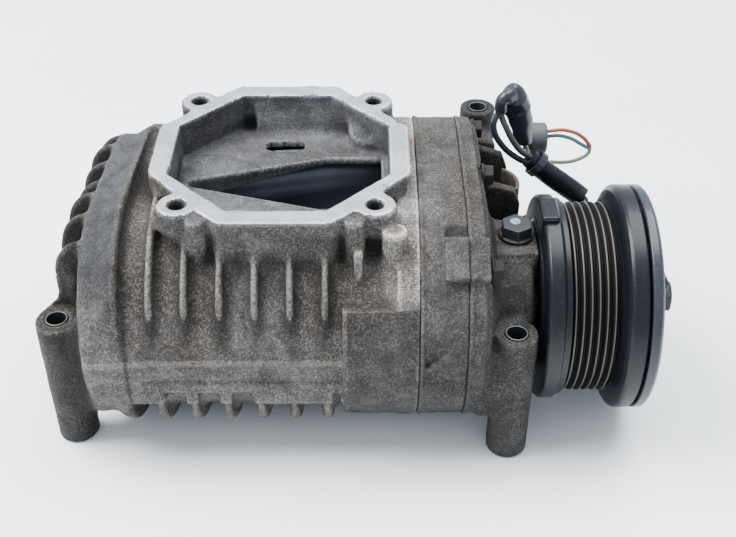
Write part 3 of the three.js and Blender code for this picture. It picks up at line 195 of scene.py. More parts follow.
class Field:
    """Signed distances on a grid, built up by adding and cutting shapes with rounded joins."""

    def __init__(self, lo, hi, step):
        self.lo, self.step = np.array(lo, np.float32), step
        counts = [int(math.ceil((hi[i] - lo[i]) / step)) + 1 for i in range(3)]
        self.axes = [self.lo[i] + step * np.arange(counts[i], dtype=np.float32) for i in range(3)]
        self.d = np.full(counts, 50.0, np.float32)

    def window(self, shape, pad):
        cut = []
        for i in range(3):
            a = int((shape[1][i] - pad - self.lo[i]) / self.step)
            b = int(math.ceil((shape[2][i] + pad - self.lo[i]) / self.step)) + 1
            cut.append(slice(max(0, a), max(0, min(len(self.axes[i]), b))))
        x, y, z = [self.axes[i][cut[i]] for i in range(3)]
        return tuple(cut), shape[0](x[:, None, None], y[None, :, None], z[None, None, :])

    def add(self, shape, k=2.0):
        cut, b = self.window(shape, k + 4 * self.step)
        a = self.d[cut]
        h = np.maximum(k - np.abs(a - b), 0) / k
        self.d[cut] = np.minimum(a, b) - h * h * k / 4

    def cut(self, shape, k=0.8):
        cut, b = self.window(shape, k + 4 * self.step)
        a = self.d[cut]
        h = np.maximum(k - np.abs(a + b), 0) / k
        self.d[cut] = np.maximum(a, -b) + h * h * k / 4

    def roughen(self, amount, cell, seed):
        """Adds a smooth random unevenness of about amount, with bumps about cell wide."""
        rng = np.random.default_rng(seed)
        every = cell / self.step
        coarse = rng.standard_normal([int(n / every) + 3 for n in self.d.shape]).astype(np.float32)
        for axis, n in enumerate(self.d.shape):
            s = np.arange(n) / every
            i = s.astype(int)
            t = (s - i).astype(np.float32)
            t = t * t * (3 - 2 * t)
            view = [1, 1, 1]
            view[axis] = n
            t = t.reshape(view)
            coarse = np.take(coarse, i, axis) * (1 - t) + np.take(coarse, i + 1, axis) * t
        self.d += coarse * amount

    def crowding(self, radius):
        """The share of solid within about radius of each grid point: a half on a flat face."""
        inside = (self.d < 0).astype(np.float32)
        reach = max(1, int(round(radius / self.step)))
        for axis in range(3):
            total = np.cumsum(inside, axis=axis, dtype=np.float32)
            n = inside.shape[axis]
            ahead = np.take(total, np.minimum(np.arange(n) + reach, n - 1), axis)
            behind = np.take(total, np.maximum(np.arange(n) - reach - 1, 0), axis)
            inside = (ahead - behind) / (2 * reach + 1)
        return inside

    def mesh(self):
        """(points, quads, edge wear and glint, hollow grime and shade) of the surface, its corners placed at the mean
        crossing.
        """
        d, step = self.d, self.step
        solid = d < 0
        strides = np.array([d.shape[1] * d.shape[2], d.shape[2], 1])
        corners, crossings, quads = [], [], []
        for axis in range(3):
            u, v = (axis + 1) % 3, (axis + 2) % 3
            first, last = [slice(None)] * 3, [slice(None)] * 3
            first[axis], last[axis] = slice(0, -1), slice(1, None)
            at = np.argwhere(solid[tuple(first)] != solid[tuple(last)])
            at = at[(at[:, u] > 0) & (at[:, v] > 0)]
            after = at.copy()
            after[:, axis] += 1
            d0, d1 = d[tuple(at.T)], d[tuple(after.T)]
            place = at.astype(np.float32)
            place[:, axis] += d0 / (d0 - d1)
            base = at @ strides
            quad = np.stack([base, base - strides[u], base - strides[u] - strides[v], base - strides[v]], 1)
            quad[d0 > 0] = quad[d0 > 0][:, ::-1]
            quads.append(quad)
            corners.append(quad.ravel())
            crossings.append(np.repeat(place, 4, axis=0))
        ids, where = np.unique(np.concatenate(corners), return_inverse=True)
        where = where.ravel()
        crossings = np.concatenate(crossings)
        count = np.bincount(where, minlength=len(ids))
        points = np.stack([np.bincount(where, crossings[:, i], len(ids)) / count for i in range(3)], 1)
        cell = np.clip(np.round(points).astype(int), 0, np.array(d.shape) - 1)
        # Convex edges get a field that lightens them as wear and painted glint; crowded hollows get one that darkens
        # them as grime and painted shade.
        small, large = self.crowding(2.2), self.crowding(9.0)
        wear_and_glint = np.clip(0.5 - small[tuple(cell.T)], -0.5, 0.5)
        grime_and_shade = np.clip(large[tuple(cell.T)] - 0.5, -0.5, 0.5)
        return self.lo + points * step, where.reshape(-1, 4), wear_and_glint, grime_and_shade


# ---- meshes --------------------------------------------------------------------------------------


def new_object(name, points, faces, materials, sharp=None, face_material=None, fields=()):
    """A mesh object from millimetre points; faces are quads in an array, or a list of any polygons."""
    me = bpy.data.meshes.new(name)
    co = ((np.asarray(points, np.float64) - SHIFT) * 0.001).astype(np.float32)
    if isinstance(faces, np.ndarray):
        me.vertices.add(len(co))
        me.vertices.foreach_set("co", co.ravel())
        me.loops.add(faces.size)
        me.loops.foreach_set("vertex_index", faces.ravel().astype(np.int32))
        me.polygons.add(len(faces))
        me.polygons.foreach_set("loop_start", np.arange(0, faces.size, faces.shape[1], dtype=np.int32))
        me.update(calc_edges=True)
        me.validate()
    else:
        me.from_pydata(co.tolist(), [], faces)
    me.polygons.foreach_set("use_smooth", np.ones(len(me.polygons), bool))
    for material in materials:
        me.materials.append(material)
    if face_material is not None:
        me.polygons.foreach_set("material_index", face_material.astype(np.int32))
    for label, values in fields:
        layer = me.attributes.new(label, "FLOAT", "POINT")
        layer.data.foreach_set("value", values.astype(np.float32))
    if sharp is not None:
        me.set_sharp_from_angle(angle=math.radians(sharp))
    me.update()
    obj = bpy.data.objects.new(name, me)
    bpy.context.scene.collection.objects.link(obj)
    return obj


def stand_for(obj, body, slot, *nodes):
    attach(obj, body)
    if nodes:
        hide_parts(*nodes)
    return obj


def rounded(points, radius, steps=4, closed=True):
    """A profile with each of its corners turned by a small arc."""
    out = []
    n = len(points)
    for i in range(n):
        p = np.array(points[i], float)
        if not closed and i in (0, n - 1):
            out.append(tuple(p))
            continue
        a, b = np.array(points[i - 1], float) - p, np.array(points[(i + 1) % n], float) - p
        la, lb = np.linalg.norm(a), np.linalg.norm(b)
        reach = min(radius, la * 0.45, lb * 0.45)
        start, end = p + a / la * reach, p + b / lb * reach
        for s in range(steps + 1):
            t = s / steps
            out.append(tuple((1 - t) ** 2 * start + 2 * t * (1 - t) * p + t * t * end))
    return out


def lathe(name, profile, centre, materials, axis="x", sides=128, closed=True, radius=0.4, sharp=40, pick=None):
    """A turned part from (radius, station) points. pick gives a face its material from (radius, station)."""
    pts = np.array(rounded(profile, radius, 3, closed) if radius else profile, float)
    n = len(pts)
    angle = np.arange(sides) * 2 * math.pi / sides
    r, s = pts[:, 0][:, None], np.repeat(pts[:, 1][:, None], sides, 1)
    u, v = r * np.cos(angle), r * np.sin(angle)
    if axis == "x":
        places = np.stack([s, u + centre[0], v + centre[1]], 2)
    else:
        places = np.stack([u + centre[0], v + centre[1], s], 2)
    rows = n if closed else n - 1
    i, j = np.meshgrid(np.arange(rows), np.arange(sides), indexing="ij")
    i2, j2 = (i + 1) % n, (j + 1) % sides
    quads = np.stack([i * sides + j, i2 * sides + j, i2 * sides + j2, i * sides + j2], -1).reshape(-1, 4)
    middle = ((pts + np.roll(pts, -1, 0)) / 2)[:rows]
    index = None
    if pick:
        index = np.repeat(np.array([pick(a, b) for a, b in middle]), sides)
    obj = new_object(name, places.reshape(-1, 3), quads, materials, None, index)
    tidy_mesh(obj, sharp)
    return obj


def tidy_mesh(obj, sharp=40):
    """Welds a mesh, turns its faces outwards and marks its sharp edges."""
    bm = bmesh.new()
    bm.from_mesh(obj.data)
    bmesh.ops.remove_doubles(bm, verts=bm.verts, dist=2e-6)
    bmesh.ops.recalc_face_normals(bm, faces=bm.faces)
    bm.to_mesh(obj.data)
    bm.free()
    obj.data.set_sharp_from_angle(angle=math.radians(sharp))


def join(first, *others):
    """One object out of several, each keeping its materials."""
    bpy.ops.object.select_all(action="DESELECT")
    for o in (first, *others):
        o.select_set(True)
    bpy.context.view_layer.objects.active = first
    bpy.ops.object.join()
    return first


def carve(name, shapes, lo, hi, step, materials, k=0.5, sharp=None):
    """A small part from ('add' or 'cut', shape) steps."""
    field = Field(lo, hi, step)
    for kind, shape in shapes:
        if kind == "add":
            field.add(shape, k)
        else:
            field.cut(shape, k)
    points, quads, wear_and_glint, grime_and_shade = field.mesh()
    fields = [("wear_and_glint", wear_and_glint), ("grime_and_shade", grime_and_shade), ("shade_and_tone", np.full(len(points), 0.6))]
    return new_object(name, points, quads, materials, sharp, None, fields)


def curve_points(points, count):
    """A smooth line through the points, evenly spaced."""
    p = np.array(points, float)
    p = np.vstack([2 * p[0] - p[1], p, 2 * p[-1] - p[-2]])
    out = []
    for i in range(1, len(p) - 2):
        for t in np.linspace(0, 1, 24, endpoint=False):
            a, b, c, d = p[i - 1 : i + 3]
            out.append(0.5 * (2 * b + (c - a) * t + (2 * a - 5 * b + 4 * c - d) * t**2 + (3 * b - a - 3 * c + d) * t**3))
    out.append(p[-2])
    out = np.array(out)
    along = np.r_[0, np.cumsum(np.linalg.norm(np.diff(out, axis=0), axis=1))]
    even = np.linspace(0, along[-1], count)
    return np.stack([np.interp(even, along, out[:, i]) for i in range(3)], 1)


def sweep(name, points, widths, materials, count=80, sides=28, flat=None, turn=0.0, crease=0.0, seed=0):
    """A tube along points. widths are its radii at even shares of its run; flat thins it across its broad side."""
    line = curve_points(points, count)
    tangent = np.gradient(line, axis=0)
    tangent /= np.linalg.norm(tangent, axis=1)[:, None]
    side = np.cross(tangent[0], [0.0, 1.0, 0.0])
    side /= np.linalg.norm(side)
    share = np.linspace(0, 1, count)
    radius = np.interp(share, np.linspace(0, 1, len(widths)), widths)
    thin = np.ones(count) if flat is None else np.interp(share, np.linspace(0, 1, len(flat)), flat)
    rng = np.random.default_rng(seed)
    ripple = np.interp(share, np.linspace(0, 1, 15), rng.uniform(-1, 1, 15))
    angle = np.arange(sides) * 2 * math.pi / sides
    rings = []
    for i in range(count):
        side = side - tangent[i] * (side @ tangent[i])
        side /= np.linalg.norm(side)
        up = np.cross(tangent[i], side)
        wave = 1 + crease * ripple[i] * np.cos(2 * angle + turn * 3) + crease * 0.6 * np.cos(3 * angle + 9 * share[i])
        a, b = np.cos(angle + turn) * radius[i] * wave, np.sin(angle + turn) * radius[i] * thin[i] * wave
        rings.append(line[i] + np.outer(a, side) + np.outer(b, up))
    places = np.concatenate(rings)
    i, j = np.meshgrid(np.arange(count - 1), np.arange(sides), indexing="ij")
    j2 = (j + 1) % sides
    quads = np.stack([i * sides + j, (i + 1) * sides + j, (i + 1) * sides + j2, i * sides + j2], -1).reshape(-1, 4)
    faces = quads.tolist()
    faces.append(list(range(sides)))
    faces.append([(count - 1) * sides + k for k in range(sides)])
    obj = new_object(name, places, faces, materials)
    tidy_mesh(obj, 50)
    return obj


# ---- materials -----------------------------------------------------------------------------------


class Nodes:
    """Builds a material's node tree around its Principled shader."""

    def __init__(self, name):
        self.material = bpy.data.materials.new(name)
        self.material.use_nodes = True
        self.tree = self.material.node_tree
        self.shader = self.tree.nodes["Principled BSDF"]
        self.where = self.node("ShaderNodeTexCoord").outputs["Object"]

    def node(self, kind, **settings):
        n = self.tree.nodes.new(kind)
        for key, value in settings.items():
            setattr(n, key, value)
        return n

    def feed(self, socket, value):
        if isinstance(value, bpy.types.NodeSocket):
            self.tree.links.new(value, socket)
        elif isinstance(value, tuple) and len(value) == 3 and socket.type == "RGBA":
            socket.default_value = (*value, 1.0)
        else:
            socket.default_value = value

    def noise(self, scale, detail=3.0, rough=0.55, stretch=None, warp=0.0):
        n = self.node("ShaderNodeTexNoise")
        where = self.where
        if stretch:
            m = self.node("ShaderNodeMapping")
            m.inputs["Scale"].default_value = stretch
            self.feed(m.inputs["Vector"], where)
            where = m.outputs["Vector"]
        self.feed(n.inputs["Vector"], where)
        self.feed(n.inputs["Scale"], scale)
        self.feed(n.inputs["Detail"], detail)
        self.feed(n.inputs["Roughness"], rough)
        self.feed(n.inputs["Distortion"], warp)
        return n.outputs["Fac"]

    def cells(self, scale, feature="F1"):
        n = self.node("ShaderNodeTexVoronoi", feature=feature)
        self.feed(n.inputs["Vector"], self.where)
        self.feed(n.inputs["Scale"], scale)
        return n.outputs["Distance"]

    def field(self, name):
        return self.node("ShaderNodeAttribute", attribute_name=name).outputs["Fac"]

    def level(self, value, low, high, to_low=0.0, to_high=1.0):
        n = self.node("ShaderNodeMapRange", interpolation_type="SMOOTHSTEP")
        self.feed(n.inputs["Value"], value)
        for key, number in zip(("From Min", "From Max", "To Min", "To Max"), (low, high, to_low, to_high)):
            n.inputs[key].default_value = number
        return n.outputs["Result"]

    def sum(self, operation, a, b):
        n = self.node("ShaderNodeMath", operation=operation)
        self.feed(n.inputs[0], a)
        self.feed(n.inputs[1], b)
        return n.outputs[0]

    def mix(self, factor, a, b, blend="MIX"):
        n = self.node("ShaderNodeMix", data_type="RGBA", blend_type=blend)
        self.feed(n.inputs["Factor"], factor)
        self.feed(n.inputs["A"], a)
        self.feed(n.inputs["B"], b)
        return n.outputs["Result"]

    def bump(self, height, strength, distance):
        n = self.node("ShaderNodeBump")
        self.feed(n.inputs["Height"], height)
        n.inputs["Strength"].default_value = strength
        n.inputs["Distance"].default_value = distance
        self.feed(self.shader.inputs["Normal"], n.outputs["Normal"])

    def done(self, **sockets):
        for key, value in sockets.items():
            self.feed(self.shader.inputs[key.replace("_", " ")], value)
        return self.material


def cast_material(name, tint=(1.0, 1.0, 1.0), gain=1.0, wear_and_glint_gain=1.0, speckle=1.0):
    """Weathered sand-cast aluminium: brown and grey patches, dark pits, pale grit, worn edges with painted glint,
    painted shade and grime in hollows, and a painted bluish sheen.
    """
    m = Nodes(name)
    dark = tuple(c * gain * t for c, t in zip((0.009, 0.008, 0.0078), tint))
    brown = tuple(c * gain * t for c, t in zip((0.034, 0.0285, 0.0250), tint))
    grey = tuple(c * gain * t for c, t in zip((0.056, 0.0535, 0.0545), tint))
    light = tuple(c * gain * t for c, t in zip((0.40, 0.375, 0.34), tint))
    patches = m.noise(26, 4, 0.62)
    blotch = m.noise(120, 5, 0.68, warp=0.7)
    grain = m.noise(950, 4, 0.75)
    fine = m.noise(2400, 3, 0.7)
    colour = m.mix(m.level(patches, 0.36, 0.60), brown, grey)
    colour = m.mix(m.level(blotch, 0.28, 0.56, 0.5, 0.0), colour, dark)
    chalk = m.sum("MULTIPLY", m.level(blotch, 0.44, 0.72), m.level(patches, 0.42, 0.6, 0.25, 1.0))
    grit = m.sum("MULTIPLY", m.level(grain, 0.46, 0.64), m.level(blotch, 0.36, 0.68, 0.35, 1.0))
    colour = m.mix(m.sum("MULTIPLY", chalk, 0.08 * speckle), colour, light)
    colour = m.mix(m.sum("MULTIPLY", grit, 0.36 * speckle), colour, light)
    colour = m.mix(m.level(fine, 0.55, 0.68, 0.0, 0.30 * speckle), colour, light)
    colour = m.mix(m.level(fine, 0.32, 0.47, 0.85, 0.0), colour, dark)
    # Convex edges lighter: partly real wear, partly a painted highlight on crests and on the front rail.
    worn_and_glinting = m.sum("MULTIPLY", m.level(m.field("wear_and_glint"), 0.06, 0.24), m.level(grain, 0.34, 0.6, 0.15, 1.0))
    colour = m.mix(m.sum("MULTIPLY", worn_and_glinting, 0.50 * wear_and_glint_gain), colour, light)
    # Painted shade in crowded hollows, together with grime: the colour goes towards a very dark brown there.
    hollow_grime_and_shade = m.level(m.field("grime_and_shade"), 0.01, 0.22, 0.0, 0.9)
    colour = m.mix(hollow_grime_and_shade, colour, tuple(c * 0.4 for c in dark))
    # A painted bluish sheen, laid on where the soft field is set.
    soft = m.mix(m.level(blotch, 0.35, 0.65), (0.0145, 0.0165, 0.0210), (0.030, 0.034, 0.042))
    colour = m.mix(m.sum("MULTIPLY", m.field("soft"), 0.72), colour, soft)
    # The last field scales the colour: part plain tone, part painted shade beside ribs, on fins and in recesses.
    shade_and_tone = m.node("ShaderNodeVectorMath", operation="SCALE")
    m.feed(shade_and_tone.inputs[0], colour)
    m.feed(shade_and_tone.inputs["Scale"], m.field("shade_and_tone"))
    height = m.sum("ADD", m.sum("MULTIPLY", grain, 1.1), m.sum("MULTIPLY", fine, 0.5))
    height = m.sum("ADD", height, m.sum("MULTIPLY", blotch, 0.7))
    m.bump(height, 0.8, 0.0008)
    m.shader.inputs["Specular IOR Level"].default_value = 0.14
    return m.done(
        Base_Color=shade_and_tone.outputs["Vector"],
        Metallic=0.0,
        Roughness=m.level(grain, 0.3, 0.7, 0.72, 0.55),
    )


def machined_material(name, colour=(0.52, 0.535, 0.56), rough=0.42):
    m = Nodes(name)
    soft = m.noise(55, 4, 0.6)
    stain = m.noise(190, 4, 0.6, warp=0.8)
    fine = m.noise(900, 2, 0.5)
    lines = m.noise(420, 2, 0.5, stretch=(0.15, 1.0, 1.0))
    darker = tuple(c * 0.62 for c in colour)
    base = m.mix(m.level(soft, 0.38, 0.62), tuple(c * 0.74 for c in colour), colour)
    base = m.mix(m.level(stain, 0.50, 0.70, 0.0, 0.6), base, darker)
    base = m.mix(m.level(lines, 0.45, 0.75, 0.0, 0.22), base, darker)
    base = m.mix(m.level(m.field("wear_and_glint"), 0.10, 0.30, 0.0, 0.35), base, (0.75, 0.76, 0.78))
    m.bump(m.sum("ADD", fine, lines), 0.12, 0.0002)
    return m.done(Base_Color=base, Metallic=0.55, Roughness=m.level(stain, 0.35, 0.7, rough, rough + 0.14))


def plain_material(
    name, colour, rough, metal=0.0, scuff=0.0, scuff_colour=(0.5, 0.5, 0.5), coat=0.0, grain=700, bump=0.05, shine=0.5
):
    m = Nodes(name)
    wide = m.noise(45, 3, 0.6)
    fine = m.noise(grain, 3, 0.6)
    base = m.mix(m.level(wide, 0.3, 0.7, 0.0, 0.5), colour, tuple(c * 0.6 for c in colour))
    if scuff:
        marks = m.sum("MULTIPLY", m.level(fine, 0.56, 0.74), m.level(wide, 0.4, 0.65))
        base = m.mix(m.sum("MULTIPLY", marks, scuff), base, scuff_colour)
    m.bump(fine, bump, 0.0003)
    m.shader.inputs["Coat Weight"].default_value = coat
    m.shader.inputs["Specular IOR Level"].default_value = shine
    m.shader.inputs["Coat Roughness"].default_value = 0.15
    return m.done(Base_Color=base, Metallic=metal, Roughness=m.level(fine, 0.3, 0.7, rough, min(1, rough + 0.12)))


CAST = cast_material("cast_aluminium")
CAST_STRAP = cast_material("strap_finish", (1.05, 0.98, 0.92), 0.8, 0.5, 0.6)
# A darker, bluish copy of the casting for faces inside the outlet: painted shade with a painted bluish glint.
CAST_CHAMBER_SHADE_AND_GLINT = cast_material("cast_aluminium_chamber_shade_and_glint", (0.92, 1.0, 1.12), 1.25, 0.6, 0.45)
MACHINED = machined_material("machined_aluminium", (0.335, 0.35, 0.385))
STEEL = plain_material("bright_steel", (0.50, 0.51, 0.53), 0.25, 0.95, bump=0.03)
DARK_STEEL = plain_material("dark_steel", (0.030, 0.031, 0.035), 0.42, 0.6, 0.35, (0.18, 0.18, 0.19), shine=0.3)
ROTOR = plain_material("rotor_coating", (0.085, 0.095, 0.12), 0.32, 0.5, 0.2, (0.14, 0.15, 0.17))
SHAFT = plain_material("shaft_steel", (0.42, 0.43, 0.45), 0.28, 0.95)
BEARING = plain_material("bearing_steel", (0.48, 0.49, 0.52), 0.24, 0.95)
SEAL = plain_material("seal_rubber", (0.030, 0.022, 0.018), 0.6)
BLACK = plain_material("black_paint", (0.004, 0.005, 0.008), 0.30, 0.0, 0.2, (0.06, 0.065, 0.075), coat=0.05, bump=0.03, shine=0.22)
GROOVE = plain_material("belt_groove", (0.006, 0.0055, 0.006), 0.5, 0.0, 0.3, (0.04, 0.034, 0.03), shine=0.15)
RIDGE = plain_material("worn_ridge", (0.075, 0.067, 0.06), 0.45, 0.5, 0.7, (0.05, 0.045, 0.04), grain=300)
PLATED = plain_material("plated_steel", (0.022, 0.021, 0.021), 0.6, 0.3, 0.3, (0.10, 0.095, 0.09), shine=0.12)
RUBBER = plain_material(
    "black_rubber", (0.014, 0.016, 0.024), 0.28, 0.0, 0.25, (0.05, 0.055, 0.07), coat=0.2, bump=0.15, shine=0.32,
)
GREY_LEAD = plain_material("grey_lead", (0.035, 0.036, 0.040), 0.3, coat=0.2)
SLEEVE_STEEL = plain_material("sleeve_steel", (0.085, 0.09, 0.10), 0.36, 0.9, bump=0.03)
PLATE_PAINT = plain_material(
    "plate_paint", (0.020, 0.023, 0.032), 0.26, 0.0, 0.3, (0.09, 0.095, 0.11), coat=0.1, bump=0.03, shine=0.3,
)
PLASTIC = plain_material("grey_plastic", (0.055, 0.058, 0.066), 0.5, 0.0, 0.7, (0.24, 0.25, 0.27), shine=0.25)
PLUG = plain_material("plug_finish", (0.016, 0.017, 0.020), 0.4, 0.4, 0.4, (0.12, 0.12, 0.13))
PAINT_DOT = plain_material("paint_dot", (0.22, 0.42, 0.52), 0.6)
RED = plain_material("red_insulation", (0.27, 0.055, 0.035), 0.45)
TEAL = plain_material("teal_insulation", (0.075, 0.15, 0.16), 0.45)
GREEN = plain_material("green_insulation", (0.15, 0.19, 0.11), 0.45)

# ---- rotor housing -------------------------------------------------------------------------------


def blend_tone(shade_and_tone, near, value):
    """tone moved towards value where near is 1."""
    return shade_and_tone + (value - shade_and_tone) * np.clip(near, 0, 1)


def tube_tone(points, shade_and_tone, place, value):
    x, y, top = TUBES[place]
    away = np.hypot(points[:, 0] - x, points[:, 1] - y) - TUBE_R
    return blend_tone(shade_and_tone, 1 - away / 5, value)



def rib_plate(x, lean=0.0):
    """A rib round the body, thinner towards its tip, cut flat beside the body and level above the ground,
    and thicker underneath.
    lean adds a slope on its rear side."""

    def distance(px, y, z):
        ring = capsule(y, z, FIN_R, FIN_BACK_R)
        out = both(ring, np.abs(y) - (SIDE_Y - 2), 5.0)
        depth = np.clip(-ring, 0, 8)
        half = RIB_THICK / 2 - 0.6 + 0.13 * depth + 1.2 * np.clip((32 - z) / 10, 0, 1)
        off = px - x
        side = np.where(off < 0, -off - half - lean * depth, off - half)
        return np.maximum(both(out, side, 1.5), 3.0 - z)

    reach, wide = PITCH_R + FIN_R, RIB_THICK + 8 * lean
    return distance, (x - wide, -reach, AXIS_Z - FIN_R), (x + wide, reach, AXIS_Z + FIN_R)


def end_fin(y):
    """An upright plate behind the rear wall, its outline rounded above and below and inside the collar's."""
    r = COLLAR_R if y < 0 else COLLAR_BACK_R
    half_height = math.sqrt(r**2 - max(0.0, abs(y) - PITCH_R) ** 2) - 1.0
    root, waist, corner = -84.0, 46.0, -88.0
    top, foot = min(109.5, AXIS_Z + half_height), max(14.0, AXIS_Z - half_height)
    shoulder = top - 21
    points = [(root, top)]
    for a in np.linspace(math.pi / 2, math.pi, 14):
        points.append((corner + (corner - FIN_TIP_X) * math.cos(a), shoulder + (top - shoulder) * math.sin(a)))
    for a in np.linspace(math.pi, math.pi * 1.5, 14):
        points.append((corner + (corner - FIN_TIP_X) * math.cos(a), waist + (waist - foot) * math.sin(a)))
    points.append((root, foot))

    def distance(x, py, z):
        outline = polygon(x, z, points)
        half = 1.9 + 0.12 * np.clip(-outline, 0, 20)
        return both(outline, np.abs(py - y) - half, 1.9)

    return distance, (FIN_TIP_X, y - 5, foot), (root, y + 5, top)


def discharge_v():
    return [(-46, -0.8), (-44, 1.5), (20, 20.5), (47, 20.5), (47, -27), (32, -27), (-44, -3.8)]


def cast_slot(x, y, half, r, z0, z1):
    """A round-ended slot with an uneven cast edge."""

    def distance(px, py, pz):
        ragged = 0.45 * np.sin(1.3 * px + 0.6 * py) * np.cos(0.9 * py - 0.5 * px)
        return both(np.hypot(np.maximum(np.abs(px - x) - half, 0), py - y) - r + ragged, slab(pz, z0, z1), 0.2)

    return distance, (x - half - r - 1, y - r - 1, z0), (x + half + r + 1, y + r + 1, z1)


def outlet_flange(field, k):
    corner = 6.0
    shape = octagon(60 - corner, 61 - corner, 24.5 - corner * 0.414, 21 - corner * 0.414)

    def plate(x, y, z):
        return both(polygon(x, y, shape) - corner, slab(z, FLANGE_Z - FLANGE_THICK, FLANGE_Z + 3), 0.5)

    field.add((plate, (-60, -61, FLANGE_Z - FLANGE_THICK), (60, 61, FLANGE_Z + 3)), k)
    for x in (-EAR_X, EAR_X):
        for y in (-EAR_Y, EAR_Y):
            field.add(rod("z", x, y, EAR_R, FLANGE_Z - FLANGE_THICK - 3, FLANGE_Z + 3, 0.5), 5.5)
    above = (lambda x, y, z: (FLANGE_Z - z) + 0 * x * y, (-70, -70, FLANGE_Z), (70, 70, FLANGE_Z + 8))
    field.cut(above, 0.5)


def chamber_room():
    room = prism("z", octagon(50.4, 50.5, 21.8, 21.3), FLOOR_Z, FLANGE_Z + 6, 1.2)
    boss = rod("z", 40.5, 36.5, 9.5, 90, 124, 1.6)
    back = box(31, 60, 38, 60, 90, 124, 1.5)
    foot = prism("x", [(54, 95), (54, 122), (50.5, 118), (43.5, 105), (43.5, 95)], -16, 34, 1.0)

    def distance(x, y, z):
        kept = np.minimum(boss[0](x, y, z), back[0](x, y, z))
        kept = both(kept, (z - 109.5 - (y - 27) * 0.45) * 0.91, 1.2)
        kept = np.minimum(kept, foot[0](x, y, z))
        a, b, k = room[0](x, y, z), -kept, 3.0
        h = np.maximum(k - np.abs(a - b), 0) / k
        return np.maximum(a, b) + h * h * k / 4

    return distance, room[1], room[2]


def tapped_hole(x, y):
    lip = TAPPED_R + 0.9
    profile = [(0, 101), (TAPPED_R, 101), (TAPPED_R, FLANGE_Z - 0.8), (lip, FLANGE_Z + 0.2), (lip, FLANGE_Z + 3), (0, FLANGE_Z + 3)]
    return (
        lambda px, py, pz: polygon(np.hypot(px - x, py - y), pz + 0 * px * py, profile),
        (x - lip, y - lip, 101),
        (x + lip, y + lip, FLANGE_Z + 3),
    )


